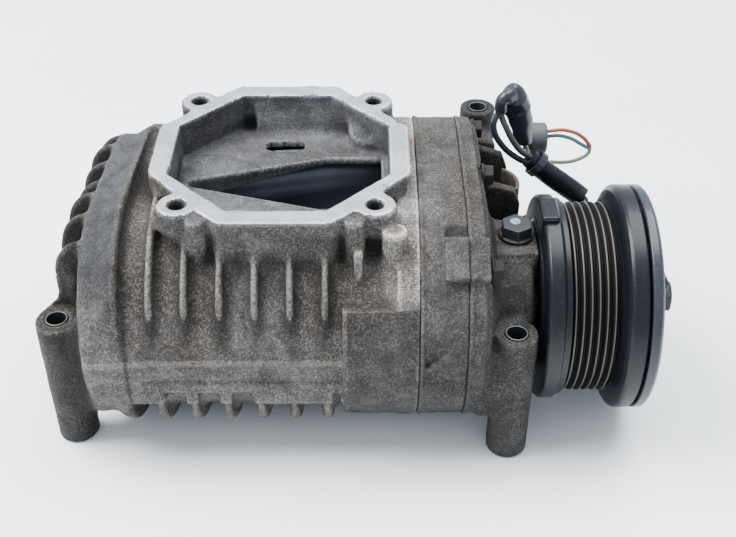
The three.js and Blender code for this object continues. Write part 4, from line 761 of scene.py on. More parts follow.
def build_housing():
    f = Field((-114, -87.5, -1.5), (65, 88.5, 125), VOXEL)
    f.add(stadium(BODY_R, COLLAR_X + 2, HOUSING_X, 1.0, BODY_BACK_R))
    f.add(stadium(COLLAR_R, COLLAR_X, RIB_FIRST_X + 1, 5.0, COLLAR_BACK_R), 2.5)
    for y in (DRIVE_Y, DRIVEN_Y):
        f.add(rod("x", y, AXIS_Z, 18, REAR_X, REAR_WALL_X, 2.0), 2.0)
    f.add(stadium(RIM_R, 53, HOUSING_X, 0.8), 3.0)
    raised = stadium(RIM_R, 29, HOUSING_X - 2, 1.6)
    f.add(meet(raised, lambda x, y, z: z - 88 + 0 * x * y), 2.0)
    for i in range(7):
        f.add(end_fin(-50.5 + 17 * i), 2.2)
    for i in range(RIB_COUNT):
        f.add(rib_plate(RIB_FIRST_X + i * RIB_PITCH, 1.1 if i == 0 else 0.0), 3.5)
    f.add(box(34.1, 38.1, -66, -56, 84, 110, 1.5), 3.0)
    f.add(box(-84, 30, -SIDE_Y - 1.2, -SIDE_Y + 4, 59.5, 63, 1.0), 1.5)
    f.add(box(-84, 30, -SIDE_Y - 0.8, -SIDE_Y + 5, 36, 49, 1.0), 1.5)
    for bay in (1, 2, 3, 6):
        left = RIB_FIRST_X + bay * RIB_PITCH + RIB_THICK / 2
        right = min(left + RIB_PITCH - RIB_THICK, 29)
        f.cut(box(left + 1, right - 1, -SIDE_Y - 6, -SIDE_Y + 5, 30, 43, 1.5), 1.2)
    tx, ty, top = TUBES["front_left"]
    f.add(rod("z", tx, ty, TUBE_R, TUBE_FOOT, top, 0.9), 10.0)
    f.add(box(tx, COLLAR_X + 6, ty - 8, ty + 8, 24, 66, 3.0), 12.0)
    f.cut(rod("z", tx, ty, TUBE_R + 0.6, top, top + 18), 0.5)
    f.add(box(-84, -62, -SIDE_Y - 1.8, -SIDE_Y + 5, 42, 60, 2.0), 7.0)
    f.add(box(-78, -22, 60, SIDE_Y + 5.5, 30, 87, 1.2), 3.0)
    # neck, flange and ears
    f.add(prism("z", octagon(59.2, 60.2, 24.2, 20.8), 96, FLANGE_Z - FLANGE_THICK + 0.5, 0.5), 4.0)
    for x in (-EAR_X, EAR_X):
        for y in (-EAR_Y, EAR_Y):
            f.add(rod("z", x, y, EAR_R - 1.2, 88, FLANGE_Z - 2, 0.5, 0.03), 4.0)
    outlet_flange(f, 1.5)
    for x, y, r, drop in ((-34.5, -55.5, 4.6, 1.5), (34.5, -55.5, 4.6, 1.5), (52, -57, 5.5, 6)):
        f.add(rod("z", x, y, r, 86, FLANGE_Z - drop, 0.5), 2.5)
    # hollows
    for y in (DRIVE_Y, DRIVEN_Y):
        f.cut(rod("x", y, AXIS_Z, BORE_R, REAR_WALL_X, HOUSING_X + 4, 0.3), 0.4)
        f.cut(rod("x", y, AXIS_Z, 13.3, REAR_WALL_X - 8, REAR_WALL_X + 2, 0.3), 0.4)
    f.roughen(0.10, 7.0, 1)
    f.roughen(0.06, 2.6, 2)
    f.cut(chamber_room(), 0.8)
    f.cut(prism("z", discharge_v(), 70, FLOOR_Z + 2, 0.3), 1.4)
    f.cut(cast_slot(-0.7, 32.6, 5.8, 4.2, 90, 115), 0.8)
    for x in (-EAR_X, EAR_X):
        for y in (-EAR_Y, EAR_Y):
            f.cut(tapped_hole(x, y), 0.3)
    f.cut(box(-69, -31, 50, SIDE_Y + 12, 39, 78, 1.0), 0.6)
    for x, z in ((-73.4, 34.6), (-26.6, 34.6), (-73.4, 82.4), (-26.6, 82.4)):
        f.cut(rod("y", x, z, 2.6, SIDE_Y - 8, SIDE_Y + 12), 0.3)
    for left in (33, 39, 45):
        f.cut(box(left, left + 2.6, -90, -82.8, 24, 35, 0.5), 0.5)
    f.cut(box(48.5, 52, -90, -82.0, 22, 34, 0.5), 0.5)
    f.cut(rod("z", tx, ty, SLEEVE_R + 0.3, -4, top + 4), 0.3)
    for y, z in BOLT_PLACES:
        f.cut(rod("x", y, z, 3.2, HOUSING_X - 10, HOUSING_X + 4), 0.3)
    points, quads, wear_and_glint, grime_and_shade = f.mesh()
    centre = points[quads].mean(1)
    # Faces inside the outlet take the chamber copy of the casting, painted shade with a bluish glint.
    inner = (np.abs(centre[:, 0]) < 53) & (np.abs(centre[:, 1]) < 52) & (centre[:, 2] > 80)
    low_chamber = inner & (np.abs(centre[:, 0]) + np.abs(centre[:, 1]) < 80)
    index = np.where(low_chamber, 1, 0)
    index = np.where((centre[:, 2] > FLANGE_Z - 0.25), 2, index)
    px, py, pz = points.T
    on_top = np.hypot(np.maximum(np.abs(py) - PITCH_R, 0), pz - AXIS_Z) > BODY_R
    wear_and_glint = np.where(on_top & (px < -64) & (px > COLLAR_X), 0.15, np.where(on_top & (px < 28), 0.6, 1.0)) * wear_and_glint
    shade_and_tone = np.full(len(points), 1.0)
    shade_and_tone = blend_tone(shade_and_tone, (90 - pz) / 15 * (py < 0), 1.25)
    # Painted shade beside the front ribs: the bays are darkened close to each rib face, more so higher up.
    across = (px - RIB_FIRST_X) % RIB_PITCH
    across = np.minimum(across, RIB_PITCH - across) - RIB_THICK / 2
    outside = (np.maximum(np.abs(px), np.abs(py)) > 58) | (np.abs(px) + np.abs(py) > 84)
    beside = outside & (px > RIB_FIRST_X + 1) & (px < 28)
    root = np.hypot(np.maximum(np.abs(py) - PITCH_R, 0), pz - AXIS_Z) < BODY_R + 4
    shade_and_tone = blend_tone(shade_and_tone, beside * root * (1 - across / 4.5) * np.clip((pz - 60) / 22, 0, 1), 0.36)
    # Painted shade in a thin strip on the pulley side of the first rib.
    shade_and_tone = blend_tone(shade_and_tone, 1 - np.abs(px - RIB_FIRST_X - 3.2) / 1.6, 0.4)
    # The soft field: a painted bluish sheen on the collar top, between its rear edge and the first rib, rising with
    # height.
    soft = np.clip((RIB_FIRST_X + 0.5 - px) / 2, 0, 1) * np.clip((px - COLLAR_X) / 2, 0, 1) * np.clip((pz - 84) / 16, 0, 1)
    # A painted highlight: a light line along the front rail's edge, drawn through the wear field.
    wear_and_glint = np.where((np.abs(pz - 61.6) < 1.5) & (py < -SIDE_Y) & (px < 29), 0.13, wear_and_glint)
    # Painted shade on the end fins behind the collar.
    shade_and_tone = blend_tone(shade_and_tone, (COLLAR_X + 1.5 - px) / 3, 0.18)
    shade_and_tone = blend_tone(shade_and_tone, ((px > 28.5) & (pz < 88.5)).astype(float), 0.58)
    shade_and_tone = blend_tone(shade_and_tone, np.clip((px - 45) / 5, 0, 1) * np.clip((pz - 88) / 5, 0, 1) * outside, 2.1)
    shade_and_tone = tube_tone(points, shade_and_tone, "front_left", 0.42)
    obj = new_object(
        "housing_casting", points, quads, [CAST, CAST_CHAMBER_SHADE_AND_GLINT, MACHINED], None, index,
        [("wear_and_glint", wear_and_glint), ("grime_and_shade", grime_and_shade), ("shade_and_tone", shade_and_tone), ("soft", soft)],
    )
    return stand_for(obj, "root", "cast_aluminium", "rotor_housing")


# ---- gear case and front cover -------------------------------------------------------------------

PAD_ANGLE = math.radians(125)


def on_shoulder(points):
    """How far points lie out from the drive axis towards the pad, and along it, upwards."""
    y, z = points[:, 1] - DRIVE_Y, points[:, 2] - AXIS_Z
    c, s = math.cos(PAD_ANGLE), math.sin(PAD_ANGLE)
    return y * c + z * s, y * s - z * c


def shoulder_block(x0, x1, along0, along1, r0, r1, e=0.6):
    """A flat pad laid on the rounded shoulder above the drive rotor."""
    out = (math.cos(PAD_ANGLE), math.sin(PAD_ANGLE))
    up = (out[1], -out[0])

    def corner(r, s):
        return (DRIVE_Y + out[0] * r + up[0] * s, AXIS_Z + out[1] * r + up[1] * s)

    return prism("x", [corner(r0, along0), corner(r1, along0), corner(r1, along1), corner(r0, along1)], x0, x1, e)


def build_gear_case():
    f = Field((61.5, -88.5, -1), (86.6, 88.5, 118), min(VOXEL, 0.75))
    f.add(stadium(RIM_R, CASE_X0, CASE_X1, 0.6))
    f.add(stadium(SEAM_R, CASE_X0, CASE_X0 + 1.5, 0.5), 0.8)
    f.add(shoulder_block(74, CASE_X1, -10, 10, 48, 58.4, 0.7), 0.8)
    f.cut(shoulder_block(75, CASE_X1 + 3, 10, 17, 53.4, 64, 0.5), 0.6)
    f.cut(prism("y", [(65.5, 75), (80.5, 75), (65.5, 61)], -100, -RIM_R - PITCH_R + 2.6, 0.6), 1.0)
    f.cut(box(65.5, CASE_X1 + 3, -100, -RIM_R - PITCH_R + 0.9, 30, 61, 0.5), 1.2)
    f.roughen(0.09, 7.0, 3)
    f.roughen(0.05, 2.6, 4)
    for y in (DRIVE_Y, DRIVEN_Y):
        f.cut(rod("x", y, AXIS_Z, 38, 76.4, CASE_X1 + 4), 0.3)
        f.cut(rod("x", y, AXIS_Z, 20.3, CASE_X0 + 3, 80), 0.3)
        f.cut(rod("x", y, AXIS_Z, 12.3, CASE_X0 - 4, 80), 0.3)
    for y, z in BOLT_PLACES:
        f.cut(rod("x", y, z, 3.2, CASE_X0 - 4, CASE_X1 + 4), 0.3)
    points, quads, wear_and_glint, grime_and_shade = f.mesh()
    wear_and_glint *= 0.45
    shade_and_tone = blend_tone(np.full(len(points), 0.62), (70 - points[:, 2]) / 15, 0.56)
    near = np.clip((76 - points[:, 0]) / 8, 0, 1) * np.clip((points[:, 2] - 72) / 10, 0, 1)
    shade_and_tone = blend_tone(shade_and_tone, near * (points[:, 1] < 0), 0.85)
    out, along = on_shoulder(points)
    step = (points[:, 0] > 74.5) & (out > 52) & (along > 10.3) & (along < 17)
    pad = (points[:, 0] > 73.8) & (out > 57) & (np.abs(along) < 10.3)
    # Painted shade in the step above the pad; the pad itself is set to one even value.
    shade_and_tone = np.where(step, 0.3, np.where(pad, 0.72, shade_and_tone))
    fields = [("wear_and_glint", wear_and_glint), ("grime_and_shade", grime_and_shade), ("shade_and_tone", shade_and_tone)]
    obj = new_object("gear_case_casting", points, quads, [CAST], None, None, fields)
    return stand_for(obj, "root", "cast_aluminium", "gear_case")


def build_cover():
    f = Field((83, -88.5, -1.5), (160, 116, 118), VOXEL)
    f.add(stadium(RIM_R, COVER_X0, 92.4, 0.8))
    f.add(stadium(RIM_R - 3.5, 91, COVER_X1, 1.0), 1.5)
    f.add(stadium(SEAM_R, COVER_X0, COVER_X0 + 1.5, 0.5), 0.8)
    f.add(shoulder_block(COVER_X0, COVER_X1 - 1, -10, 10, 48, 57.6, 0.8), 1.2)
    nose = [
        (0, 88), (45, 88), (45, 96), (NOSE_R + 3, 99.5), (NOSE_R, 104), (NOSE_R, NOSE_X - 1.5),
        (NOSE_R - 1.5, NOSE_X), (NOSE_TUBE_R, NOSE_X), (NOSE_TUBE_R, NOSE_TUBE_X), (0, NOSE_TUBE_X),
    ]
    f.add(turned(nose, DRIVE_Y, AXIS_Z), 1.5)
    f.add(turned([(0, 90), (34, 90), (32, 99), (24, 101), (0, 101)], DRIVEN_Y, AXIS_Z), 2.0)
    f.add(box(99, 118.5, -43, -15.5, 78, PLUG_SEAT_Z, 1.6), 3.0)
    for y, x, top in ((2, 114.3, 99.5), (37, 111.5, 98), (59, 107.6, 97)):
        outline = [(90, 22), (x - 8, 30), (x, 44), (x, top - 8), (x - 3, top), (90, top + 6)]
        f.add(prism("y", outline, y - 2.5, y + 2.5, 1.2), 2.5)
    f.add(box(93, 107, -4, 60, 72, 77, 1.2), 2.5)
    fx, fy, ftop = TUBES["front_right"]
    bx, by, btop = TUBES["back_right"]
    f.add(rod("z", fx, fy, TUBE_R, TUBE_FOOT, ftop, 0.9), 3.0)
    f.add(rod("z", bx, by, TUBE_R, TUBE_FOOT, btop, 0.9), 3.0)
    f.add(box(90, fx, fy - 8, fy + 8, 26, 64, 2.5), 5.0)
    f.add(box(94, fx - 4, fy - 4, -48, 30, 60, 2.5), 4.0)
    f.add(prism("z", [(87, 60), (103, 60), (bx + 8, by), (bx - 8, by)], 44, 78, 2.5), 5.0)
    f.roughen(0.09, 7.0, 5)
    f.roughen(0.05, 2.6, 6)
    for y in (DRIVE_Y, DRIVEN_Y):
        f.cut(rod("x", y, AXIS_Z, 38, COVER_X0 - 4, 90.6), 0.3)
    f.cut(rod("x", DRIVE_Y, AXIS_Z, 21, 86, 98.4), 0.3)
    f.cut(rod("x", DRIVE_Y, AXIS_Z, 15.4, 90, NOSE_TUBE_X + 4), 0.3)
    f.cut(rod("z", PLUG_X, DRIVE_Y, 5.3, AXIS_Z + 5, PLUG_SEAT_Z + 4), 0.3)
    f.cut(rod("z", PLUG_X, DRIVE_Y, 8.8, PLUG_SEAT_Z, PLUG_SEAT_Z + 24), 0.3)
    for x, y, top in (TUBES["front_right"], TUBES["back_right"]):
        f.cut(rod("z", x, y, SLEEVE_R + 0.3, -4, top + 4), 0.3)
    for y, z in BOLT_PLACES:
        f.cut(rod("x", y, z, 6.8, 94.2, 134), 0.5)
        f.cut(rod("x", y, z, 3.2, COVER_X0 - 4, 134), 0.3)
    points, quads, wear_and_glint, grime_and_shade = f.mesh()
    wear_and_glint *= 0.6
    # Half the hollow grime and painted shade on the nose.
    grime_and_shade *= np.where(points[:, 0] > 94, 0.5, 1.0)
    shade_and_tone = blend_tone(np.full(len(points), 0.56), (points[:, 0] - 93) / 4, 0.42)
    shade_and_tone = blend_tone(shade_and_tone, (60 - points[:, 2]) / 20 * (points[:, 0] < 93), 0.42)
    boss = (points[:, 0] > 99) & (np.abs(points[:, 1] - DRIVE_Y) < 15) & (points[:, 2] > 80)
    shade_and_tone = np.where(boss, 0.75, shade_and_tone)
    shade_and_tone = tube_tone(points, shade_and_tone, "front_right", 0.55)
    shade_and_tone = tube_tone(points, shade_and_tone, "back_right", 0.2)
    fields = [("wear_and_glint", wear_and_glint), ("grime_and_shade", grime_and_shade), ("shade_and_tone", shade_and_tone)]
    obj = new_object("front_cover_casting", points, quads, [CAST], None, None, fields)
    return stand_for(obj, "root", "cast_aluminium", "front_cover")


build_housing()
build_gear_case()
build_cover()

# ---- rotors --------------------------------------------------------------------------------------


def rotor_outline(lobe_steps=22, hollow_steps=28):
    """One rotor's outline: circular lobes, and hollows swept by the mating lobe."""
    half = math.pi / 6
    tip, gap = 43.0, 0.4
    reach = PITCH_R * math.cos(half)
    centre = (tip**2 - PITCH_R**2) / (2 * (tip - reach))
    lobe_r = tip - centre
    crossing = math.atan2(PITCH_R * math.sin(half), reach - centre)
    points = []
    for lobe in range(3):
        turn = lobe * 2 * math.pi / 3
        for i in range(lobe_steps + 1):
            a = crossing * (2 * i / lobe_steps - 1)
            p = complex(centre + (lobe_r - gap) * math.cos(a), (lobe_r - gap) * math.sin(a))
            points.append(p * complex(math.cos(turn), math.sin(turn)))
        for i in range(1, hollow_steps):
            share = 2 * i / hollow_steps - 1
            a = half * share * abs(share)
            pitch = PITCH_R * complex(math.cos(a), math.sin(a))
            mate = 2 * pitch - centre * complex(math.cos(2 * a), math.sin(2 * a))
            towards = (pitch - mate) / abs(pitch - mate)
            p = mate + towards * (lobe_r + gap)
            points.append(p * complex(math.cos(turn + 2 * half), math.sin(turn + 2 * half)))
    return np.array([[p.real, p.imag] for p in points])


def build_rotor(side, y, hand):
    x0, x1, steps = REAR_WALL_X + 0.6, HOUSING_X - 0.5, 60
    outer = rotor_outline()
    n = len(outer)
    angles = np.arctan2(outer[:, 1], outer[:, 0])
    inner = 8.9 * np.stack([np.cos(angles), np.sin(angles)], 1)
    rings = []
    for i in range(steps + 1):
        a = hand * math.pi / 3 * i / steps
        turn = np.array([[math.cos(a), -math.sin(a)], [math.sin(a), math.cos(a)]])
        x = x0 + (x1 - x0) * i / steps
        for loop in (outer, inner):
            p = loop @ turn.T
            rings.append(np.c_[np.full(n, x), p[:, 0] + y, p[:, 1] + AXIS_Z])
    places = np.concatenate(rings)
    k = np.arange(n)
    k2 = (k + 1) % n
    quads = []
    for i in range(steps):
        a, b = 2 * i * n, 2 * (i + 1) * n
        quads.append(np.stack([a + k, a + k2, b + k2, b + k], 1))
        a, b = a + n, b + n
        quads.append(np.stack([a + k2, a + k, b + k, b + k2], 1))
    last = 2 * steps * n
    quads.append(np.stack([k2, k, n + k, n + k2], 1))
    quads.append(np.stack([last + k, last + k2, last + n + k2, last + n + k], 1))
    obj = new_object(f"{side}_rotor_lobes", places, np.concatenate(quads), [ROTOR])
    tidy_mesh(obj, 45)
    stand_for(obj, f"{side}_train", "rotor_coating", f"{side}_rotor")


build_rotor("drive", DRIVE_Y, 1)
build_rotor("driven", DRIVEN_Y, -1)

# ---- inner parts keep their CAD meshes -----------------------------------------------------------

KEPT = {"rotor_shaft": SHAFT, "timing_gear": DARK_STEEL, "rear_bearing": BEARING, "front_bearing": BEARING, "shaft_seal": SEAL}


def keep(node, material):
    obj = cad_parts[node]
    obj.data.materials.clear()
    obj.data.materials.append(material)


for side in ("drive", "driven"):
    for part, material in KEPT.items():
        keep(f"{side}_{part}", material)
keep("shaft_coupler", DARK_STEEL)
keep("input_shaft", SHAFT)
keep("rear_snout_bearing", BEARING)
keep("front_snout_bearing", BEARING)
keep("snout_seal", SEAL)
keep("dowel_pin_1", STEEL)
keep("dowel_pin_2", STEEL)

# ---- clutch coil, pulley and armature ------------------------------------------------------------

coil = lathe(
    "clutch_coil_ring",
    [
        (COIL_INNER_R, COIL_X0 - 1.2), (36, COIL_X0 - 1.2), (37, COIL_X0), (COIL_R - 1.4, COIL_X0), (COIL_R, COIL_X0 + 1.4),
        (COIL_R, 127.4), (COIL_R - 1.7, 128.6), (COIL_R - 1.7, COIL_X1), (COIL_INNER_R, COIL_X1),
    ],
    (DRIVE_Y, AXIS_Z), [BLACK], sides=160, radius=0.5,
)
lug = carve(
    "clutch_coil_lug",
    [
        ("add", box(COIL_X0 - 1.0, 127.2, DRIVE_Y - 8, DRIVE_Y + 9, AXIS_Z + 40, AXIS_Z + COIL_R + 2.2, 1.2)),
        ("add", rod("y", 124, AXIS_Z + 4, 6.2, DRIVE_Y + 40, DRIVE_Y + COIL_R + 6, 1.0)),
    ],
    (117, DRIVE_Y - 11, AXIS_Z - 4), (133, DRIVE_Y + COIL_R + 9, AXIS_Z + COIL_R + 5), 0.5, [BLACK],
)
stand_for(join(coil, lug), "root", "black_paint", "clutch_coil")

profile = [(31.3, 136.6), (35.5, 136.6), (35.5, 150), (39, 150), (39, PULLEY_X0), (RIBBED_R - 1, PULLEY_X0)]
for i in range(6):
    x = 132.98 + i * 3.56
    profile += [(RIBBED_R, x - 0.28), (RIBBED_R, x + 0.28), (GROOVE_R, x + 1.55), (GROOVE_R, x + 2.0)]
profile += [
    (GROOVE_R + 1, 153.2), (GROOVE_R + 3.2, 154.2), (DRUM_R - 2.6, 155.0), (DRUM_R - 0.6, 156.2), (DRUM_R, 157.6),
    (DRUM_R, 163.2), (DRUM_R - 1, PULLEY_X1), (24, PULLEY_X1), (24, 153.4), (31.3, 153.4),
]


def pulley_pick(r, x):
    if x < 153.0 and r > RIBBED_R - 0.25:
        return 2
    if x < 153.4 and r > 40:
        return 1
    return 0


pulley = lathe(
    "pulley_drum", profile, (DRIVE_Y, AXIS_Z), [BLACK, GROOVE, RIDGE], sides=192, radius=0.16, pick=pulley_pick, sharp=35,
)
stand_for(pulley, "pulley", "black_paint", "pulley")
keep("pulley_bearing", BEARING)
keep("pulley_snap_ring", STEEL)


def arc_window(middle):
    def distance(x, y, z):
        u, v = y - DRIVE_Y, z - AXIS_Z
        r, a = np.hypot(u, v), np.arctan2(v, u)
        off = np.abs((a - middle + math.pi) % (2 * math.pi) - math.pi)
        return both(np.abs(r - 43.25) - 2.25, (off - 0.42) * 43.25, 1.0) + 0 * x

    return distance, (PLATE_X0 - 6, DRIVE_Y - 46, AXIS_Z - 46), (PLATE_X1 + 6, DRIVE_Y + 46, AXIS_Z + 46)


plate_profile = [(31, PLATE_X0), (DRUM_R, PLATE_X0), (DRUM_R, PLATE_X1 - 1.6), (DRUM_R - 1.6, PLATE_X1), (31, PLATE_X1)]
plate = carve(
    "armature_disc",
    [("add", turned(plate_profile, DRIVE_Y, AXIS_Z))]
    + [("cut", arc_window((i + 0.5) * 2 * math.pi / 3)) for i in range(3)],
    (164, DRIVE_Y - 55, AXIS_Z - 55), (172, DRIVE_Y + 55, AXIS_Z + 55), 0.55, [PLATE_PAINT],
)
stand_for(plate, "armature", "black_paint", "armature_plate")
hub = lathe(
    "armature_hub_turned",
    [
        (7.9, 160), (13, 160), (13, 166.4), (28.5, 166.4), (28.5, 170.4), (15, 170.4), (13.5, 172.2),
        (13.5, 176), (12.5, 177), (7.9, 177),
    ],
    (DRIVE_Y, AXIS_Z), [DARK_STEEL], sides=96,
)
stand_for(hub, "drive_train", "dark_steel", "armature_hub")
for i in range(3):
    a = i * 2 * math.pi / 3 + 0.25
    ends = [(DRIVE_Y + r * math.cos(t), AXIS_Z + r * math.sin(t)) for r, t in ((22, a - 0.55), (44, a))]
    (y0, z0), (y1, z1) = ends

    def leaf(x, y, z, y0=y0, z0=z0, y1=y1, z1=z1):
        along = np.clip(((y - y0) * (y1 - y0) + (z - z0) * (z1 - z0)) / ((y1 - y0) ** 2 + (z1 - z0) ** 2), 0, 1)
        d = np.hypot(y - y0 - along * (y1 - y0), z - z0 - along * (z1 - z0)) - 5.5 + 1.3 * np.sin(math.pi * along)
        return both(d, slab(x, PLATE_X1 + 0.4, PLATE_X1 + 1.4), 0.3)

    low = (PLATE_X1 + 0.2, min(y0, y1) - 6, min(z0, z1) - 6)
    high = (PLATE_X1 + 3, max(y0, y1) + 6, max(z0, z1) + 6)
    shapes = [("add", (leaf, low, high))]
    shapes += [("add", rod("x", y, z, 3.2, PLATE_X1 + 0.9, PLATE_X1 + 2.8, 0.8)) for y, z in ends]
    spring = carve(f"leaf_spring_{i + 1}", shapes, np.subtract(low, 1.0), np.add(high, 1.0), 0.3, [DARK_STEEL], 0.4)
    stand_for(spring, "drive_train", "dark_steel", f"armature_leaf_spring_{i + 1}")


def hexagon(flats, a=0.0, b=0.0):
    r = flats / math.sqrt(3)
    return [(a + r * math.cos((i + 0.5) * math.pi / 3), b + r * math.sin((i + 0.5) * math.pi / 3)) for i in range(6)]


def chamfered(shape, axis, a, b, r, top):
    """A hexagon's corners taken off by a cone at its top."""
    n = "xyz".index(axis)

    def cone(*p):
        u, v = [p[i] for i in range(3) if i != n]
        return (np.hypot(u - a, v - b) - r) * 0.5 + (p[n] - top) * 0.87

    return meet(shape, cone)


hub_bolt = carve(
    "hub_bolt_head",
    [
        ("add", turned([(0, 177.3), (11, 177.3), (11, 179), (9.6, 179.6), (0, 179.6)], DRIVE_Y, AXIS_Z)),
        ("add", chamfered(prism("x", hexagon(14, DRIVE_Y, AXIS_Z), 179, 185.6, 0.2), "x", DRIVE_Y, AXIS_Z, 7.0, 185.6)),
        ("add", rod("x", DRIVE_Y, AXIS_Z, 5.4, 179, 186.2, 0.7)),
    ],
    (176, DRIVE_Y - 13, AXIS_Z - 13), (188.5, DRIVE_Y + 13, AXIS_Z + 13), 0.35, [DARK_STEEL],
)
stand_for(hub_bolt, "drive_train", "dark_steel", "hub_bolt")

# ---- fasteners, plug, sleeves and threads --------------------------------------------------------

for i, (y, z) in enumerate(BOLT_PLACES):
    seat = 94.5
    head = chamfered(prism("x", hexagon(9, y, z), seat + 0.6, seat + 5.5, 0.2), "x", y, z, 4.5, seat + 5.5)
    bolt = carve(
        f"cover_bolt_head_{i + 1}",
        [
            ("add", rod("x", y, z, 2.9, 54.5, seat + 1)),
            ("add", rod("x", y, z, 5.6, seat, seat + 1.2, 0.4)),
            ("add", head),
        ],
        (53, y - 7, z - 7), (101, y + 7, z + 7), 0.4, [PLATED],
    )
    stand_for(bolt, "root", "plated_steel", f"cover_bolt_{i + 1}")

plug_top = PLUG_SEAT_Z + 7.4
plug_hex = [(PLUG_X + a, DRIVE_Y + b) for a, b in hexagon(13)]
plug = carve(
    "oil_plug_head",
    [
        ("add", rod("z", PLUG_X, DRIVE_Y, 5.0, 85, PLUG_SEAT_Z + 1)),
        ("add", rod("z", PLUG_X, DRIVE_Y, 8.0, PLUG_SEAT_Z + 0.3, PLUG_SEAT_Z + 1.8, 0.5)),
        ("add", chamfered(prism("z", plug_hex, PLUG_SEAT_Z + 1, plug_top, 0.3), "z", PLUG_X, DRIVE_Y, 6.9, plug_top)),
    ],
    (99, -40, 83), (119, -19, 103), 0.3, [PLUG],
)
dot = lathe("oil_plug_paint", [(0, plug_top - 0.2), (2.7, plug_top - 0.2), (2.9, plug_top - 0.02), (2.4, plug_top + 0.0), (0, plug_top + 0.0)],
            (PLUG_X - 0.6, DRIVE_Y + 1.4), [PAINT_DOT], axis="z", sides=40, closed=False, radius=0)
stand_for(join(plug, dot), "root", "plug_finish", "oil_fill_plug")

for place, (x, y, top) in TUBES.items():
    ring = [(SLEEVE_BORE_R, 0.2), (SLEEVE_R, 0.2), (SLEEVE_R, top + 0.2), (SLEEVE_BORE_R, top + 0.2)]
    sleeve = lathe(f"{place}_sleeve_turned", ring, (x, y), [SLEEVE_STEEL], axis="z", sides=72, radius=0.25)
    stand_for(sleeve, "root", "bright_steel", f"{place}_mount_sleeve")


def thread(name, x, y, z0, z1, pitch=1.25):
    """A cut thread lining a tapped hole: a helical ridge on the inside of a thin sleeve."""
    sides, rows = 48, int((z1 - z0) / pitch * 10)
    angle = np.arange(sides) * 2 * math.pi / sides
    z = np.linspace(z0, z1, rows + 1)
    phase = (z[:, None] / pitch - angle[None, :] / (2 * math.pi)) % 1
    r = TAPPED_R - 0.62 + 0.62 * np.abs(2 * phase - 1)
    inner = np.stack([x + r * np.cos(angle), y + r * np.sin(angle), np.repeat(z[:, None], sides, 1)], 2).reshape(-1, 3)
    outer = np.stack([x + (TAPPED_R + 0.5) * np.cos(angle), y + (TAPPED_R + 0.5) * np.sin(angle)], 1)
    low, high = np.c_[outer, np.full(sides, z0)], np.c_[outer, np.full(sides, z1)]
    places = np.vstack([inner, low, high])
    n = len(inner)
    i, j = np.meshgrid(np.arange(rows), np.arange(sides), indexing="ij")
    j2 = (j + 1) % sides
    k, k2 = np.arange(sides), (np.arange(sides) + 1) % sides
    quads = [np.stack([i * sides + j, (i + 1) * sides + j, (i + 1) * sides + j2, i * sides + j2], -1).reshape(-1, 4)]
    quads.append(np.stack([rows * sides + k, n + sides + k, n + sides + k2, rows * sides + k2], 1))
    quads.append(np.stack([n + k, n + k2, n + sides + k2, n + sides + k], 1))
    quads.append(np.stack([k2, n + k2, n + k, k], 1))
    obj = new_object(name, places, np.concatenate(quads), [PLATED])
    tidy_mesh(obj, 30)
    return stand_for(obj, "root", "cast_aluminium")


for i, (x, y) in enumerate([(a, b) for a in (-EAR_X, EAR_X) for b in (-EAR_Y, EAR_Y)]):
    thread(f"ear_thread_{i + 1}", x, y, 101.5, FLANGE_Z - 1.4)

# ---- wiring --------------------------------------------------------------------------------------

COIL_LEAD = [(122.3, 35, 96), (128.3, 34, 90.9), (138.5, 32, 83.8), (146.5, 30.5, 78.2), (150.5, 29, 75.6)]
HARNESS = [
    (120.4, 44.5, 99.5), (119.3, 44.5, 105.5), (117.4, 44.5, 113.5), (115.6, 44.5, 119.6),
    (113.2, 44.5, 126.0), (109.6, 44.0, 128.6),
]
sleeve = sweep("coil_lead_boot", COIL_LEAD, [4.9, 5.5, 5.6, 5.6, 5.4], [BLACK], 70, 32, [1.0, 0.92, 0.95, 1.0], crease=0.03, seed=3)
stand_for(sleeve, "root", "black_rubber", "coil_lead_sleeve")
harness = sweep(
    "harness_boot", HARNESS, [4.2, 5.2, 6.2, 6.7, 6.8, 5.2], [RUBBER], 120, 36,
    [0.85, 0.82, 0.8, 0.85, 0.9, 0.95], crease=0.06, seed=5,
)
FOLD = [(112.5, 43, 126.5), (109.6, 39.8, 128.6), (107.2, 38.5, 127.4), (106.4, 38.1, 124.6), (106.7, 38, 121.4)]
fold = sweep("harness_fold", FOLD, [4.8, 4.4, 3.9, 3.6, 3.3], [RUBBER], 50, 28, [0.9, 0.85, 0.9], crease=0.05, seed=8)
STUB = [(123.4, 59.4, 93.2), (119.6, 57, 95.0), (118.2, 52.5, 98.2), (118.6, 47.5, 102.0)]
stub = sweep("connector_tail", STUB, [3.4, 3.0, 3.2], [RUBBER], 40, 24, crease=0.03, seed=9)
stand_for(join(harness, fold, stub), "root", "black_rubber", "harness_sleeve")
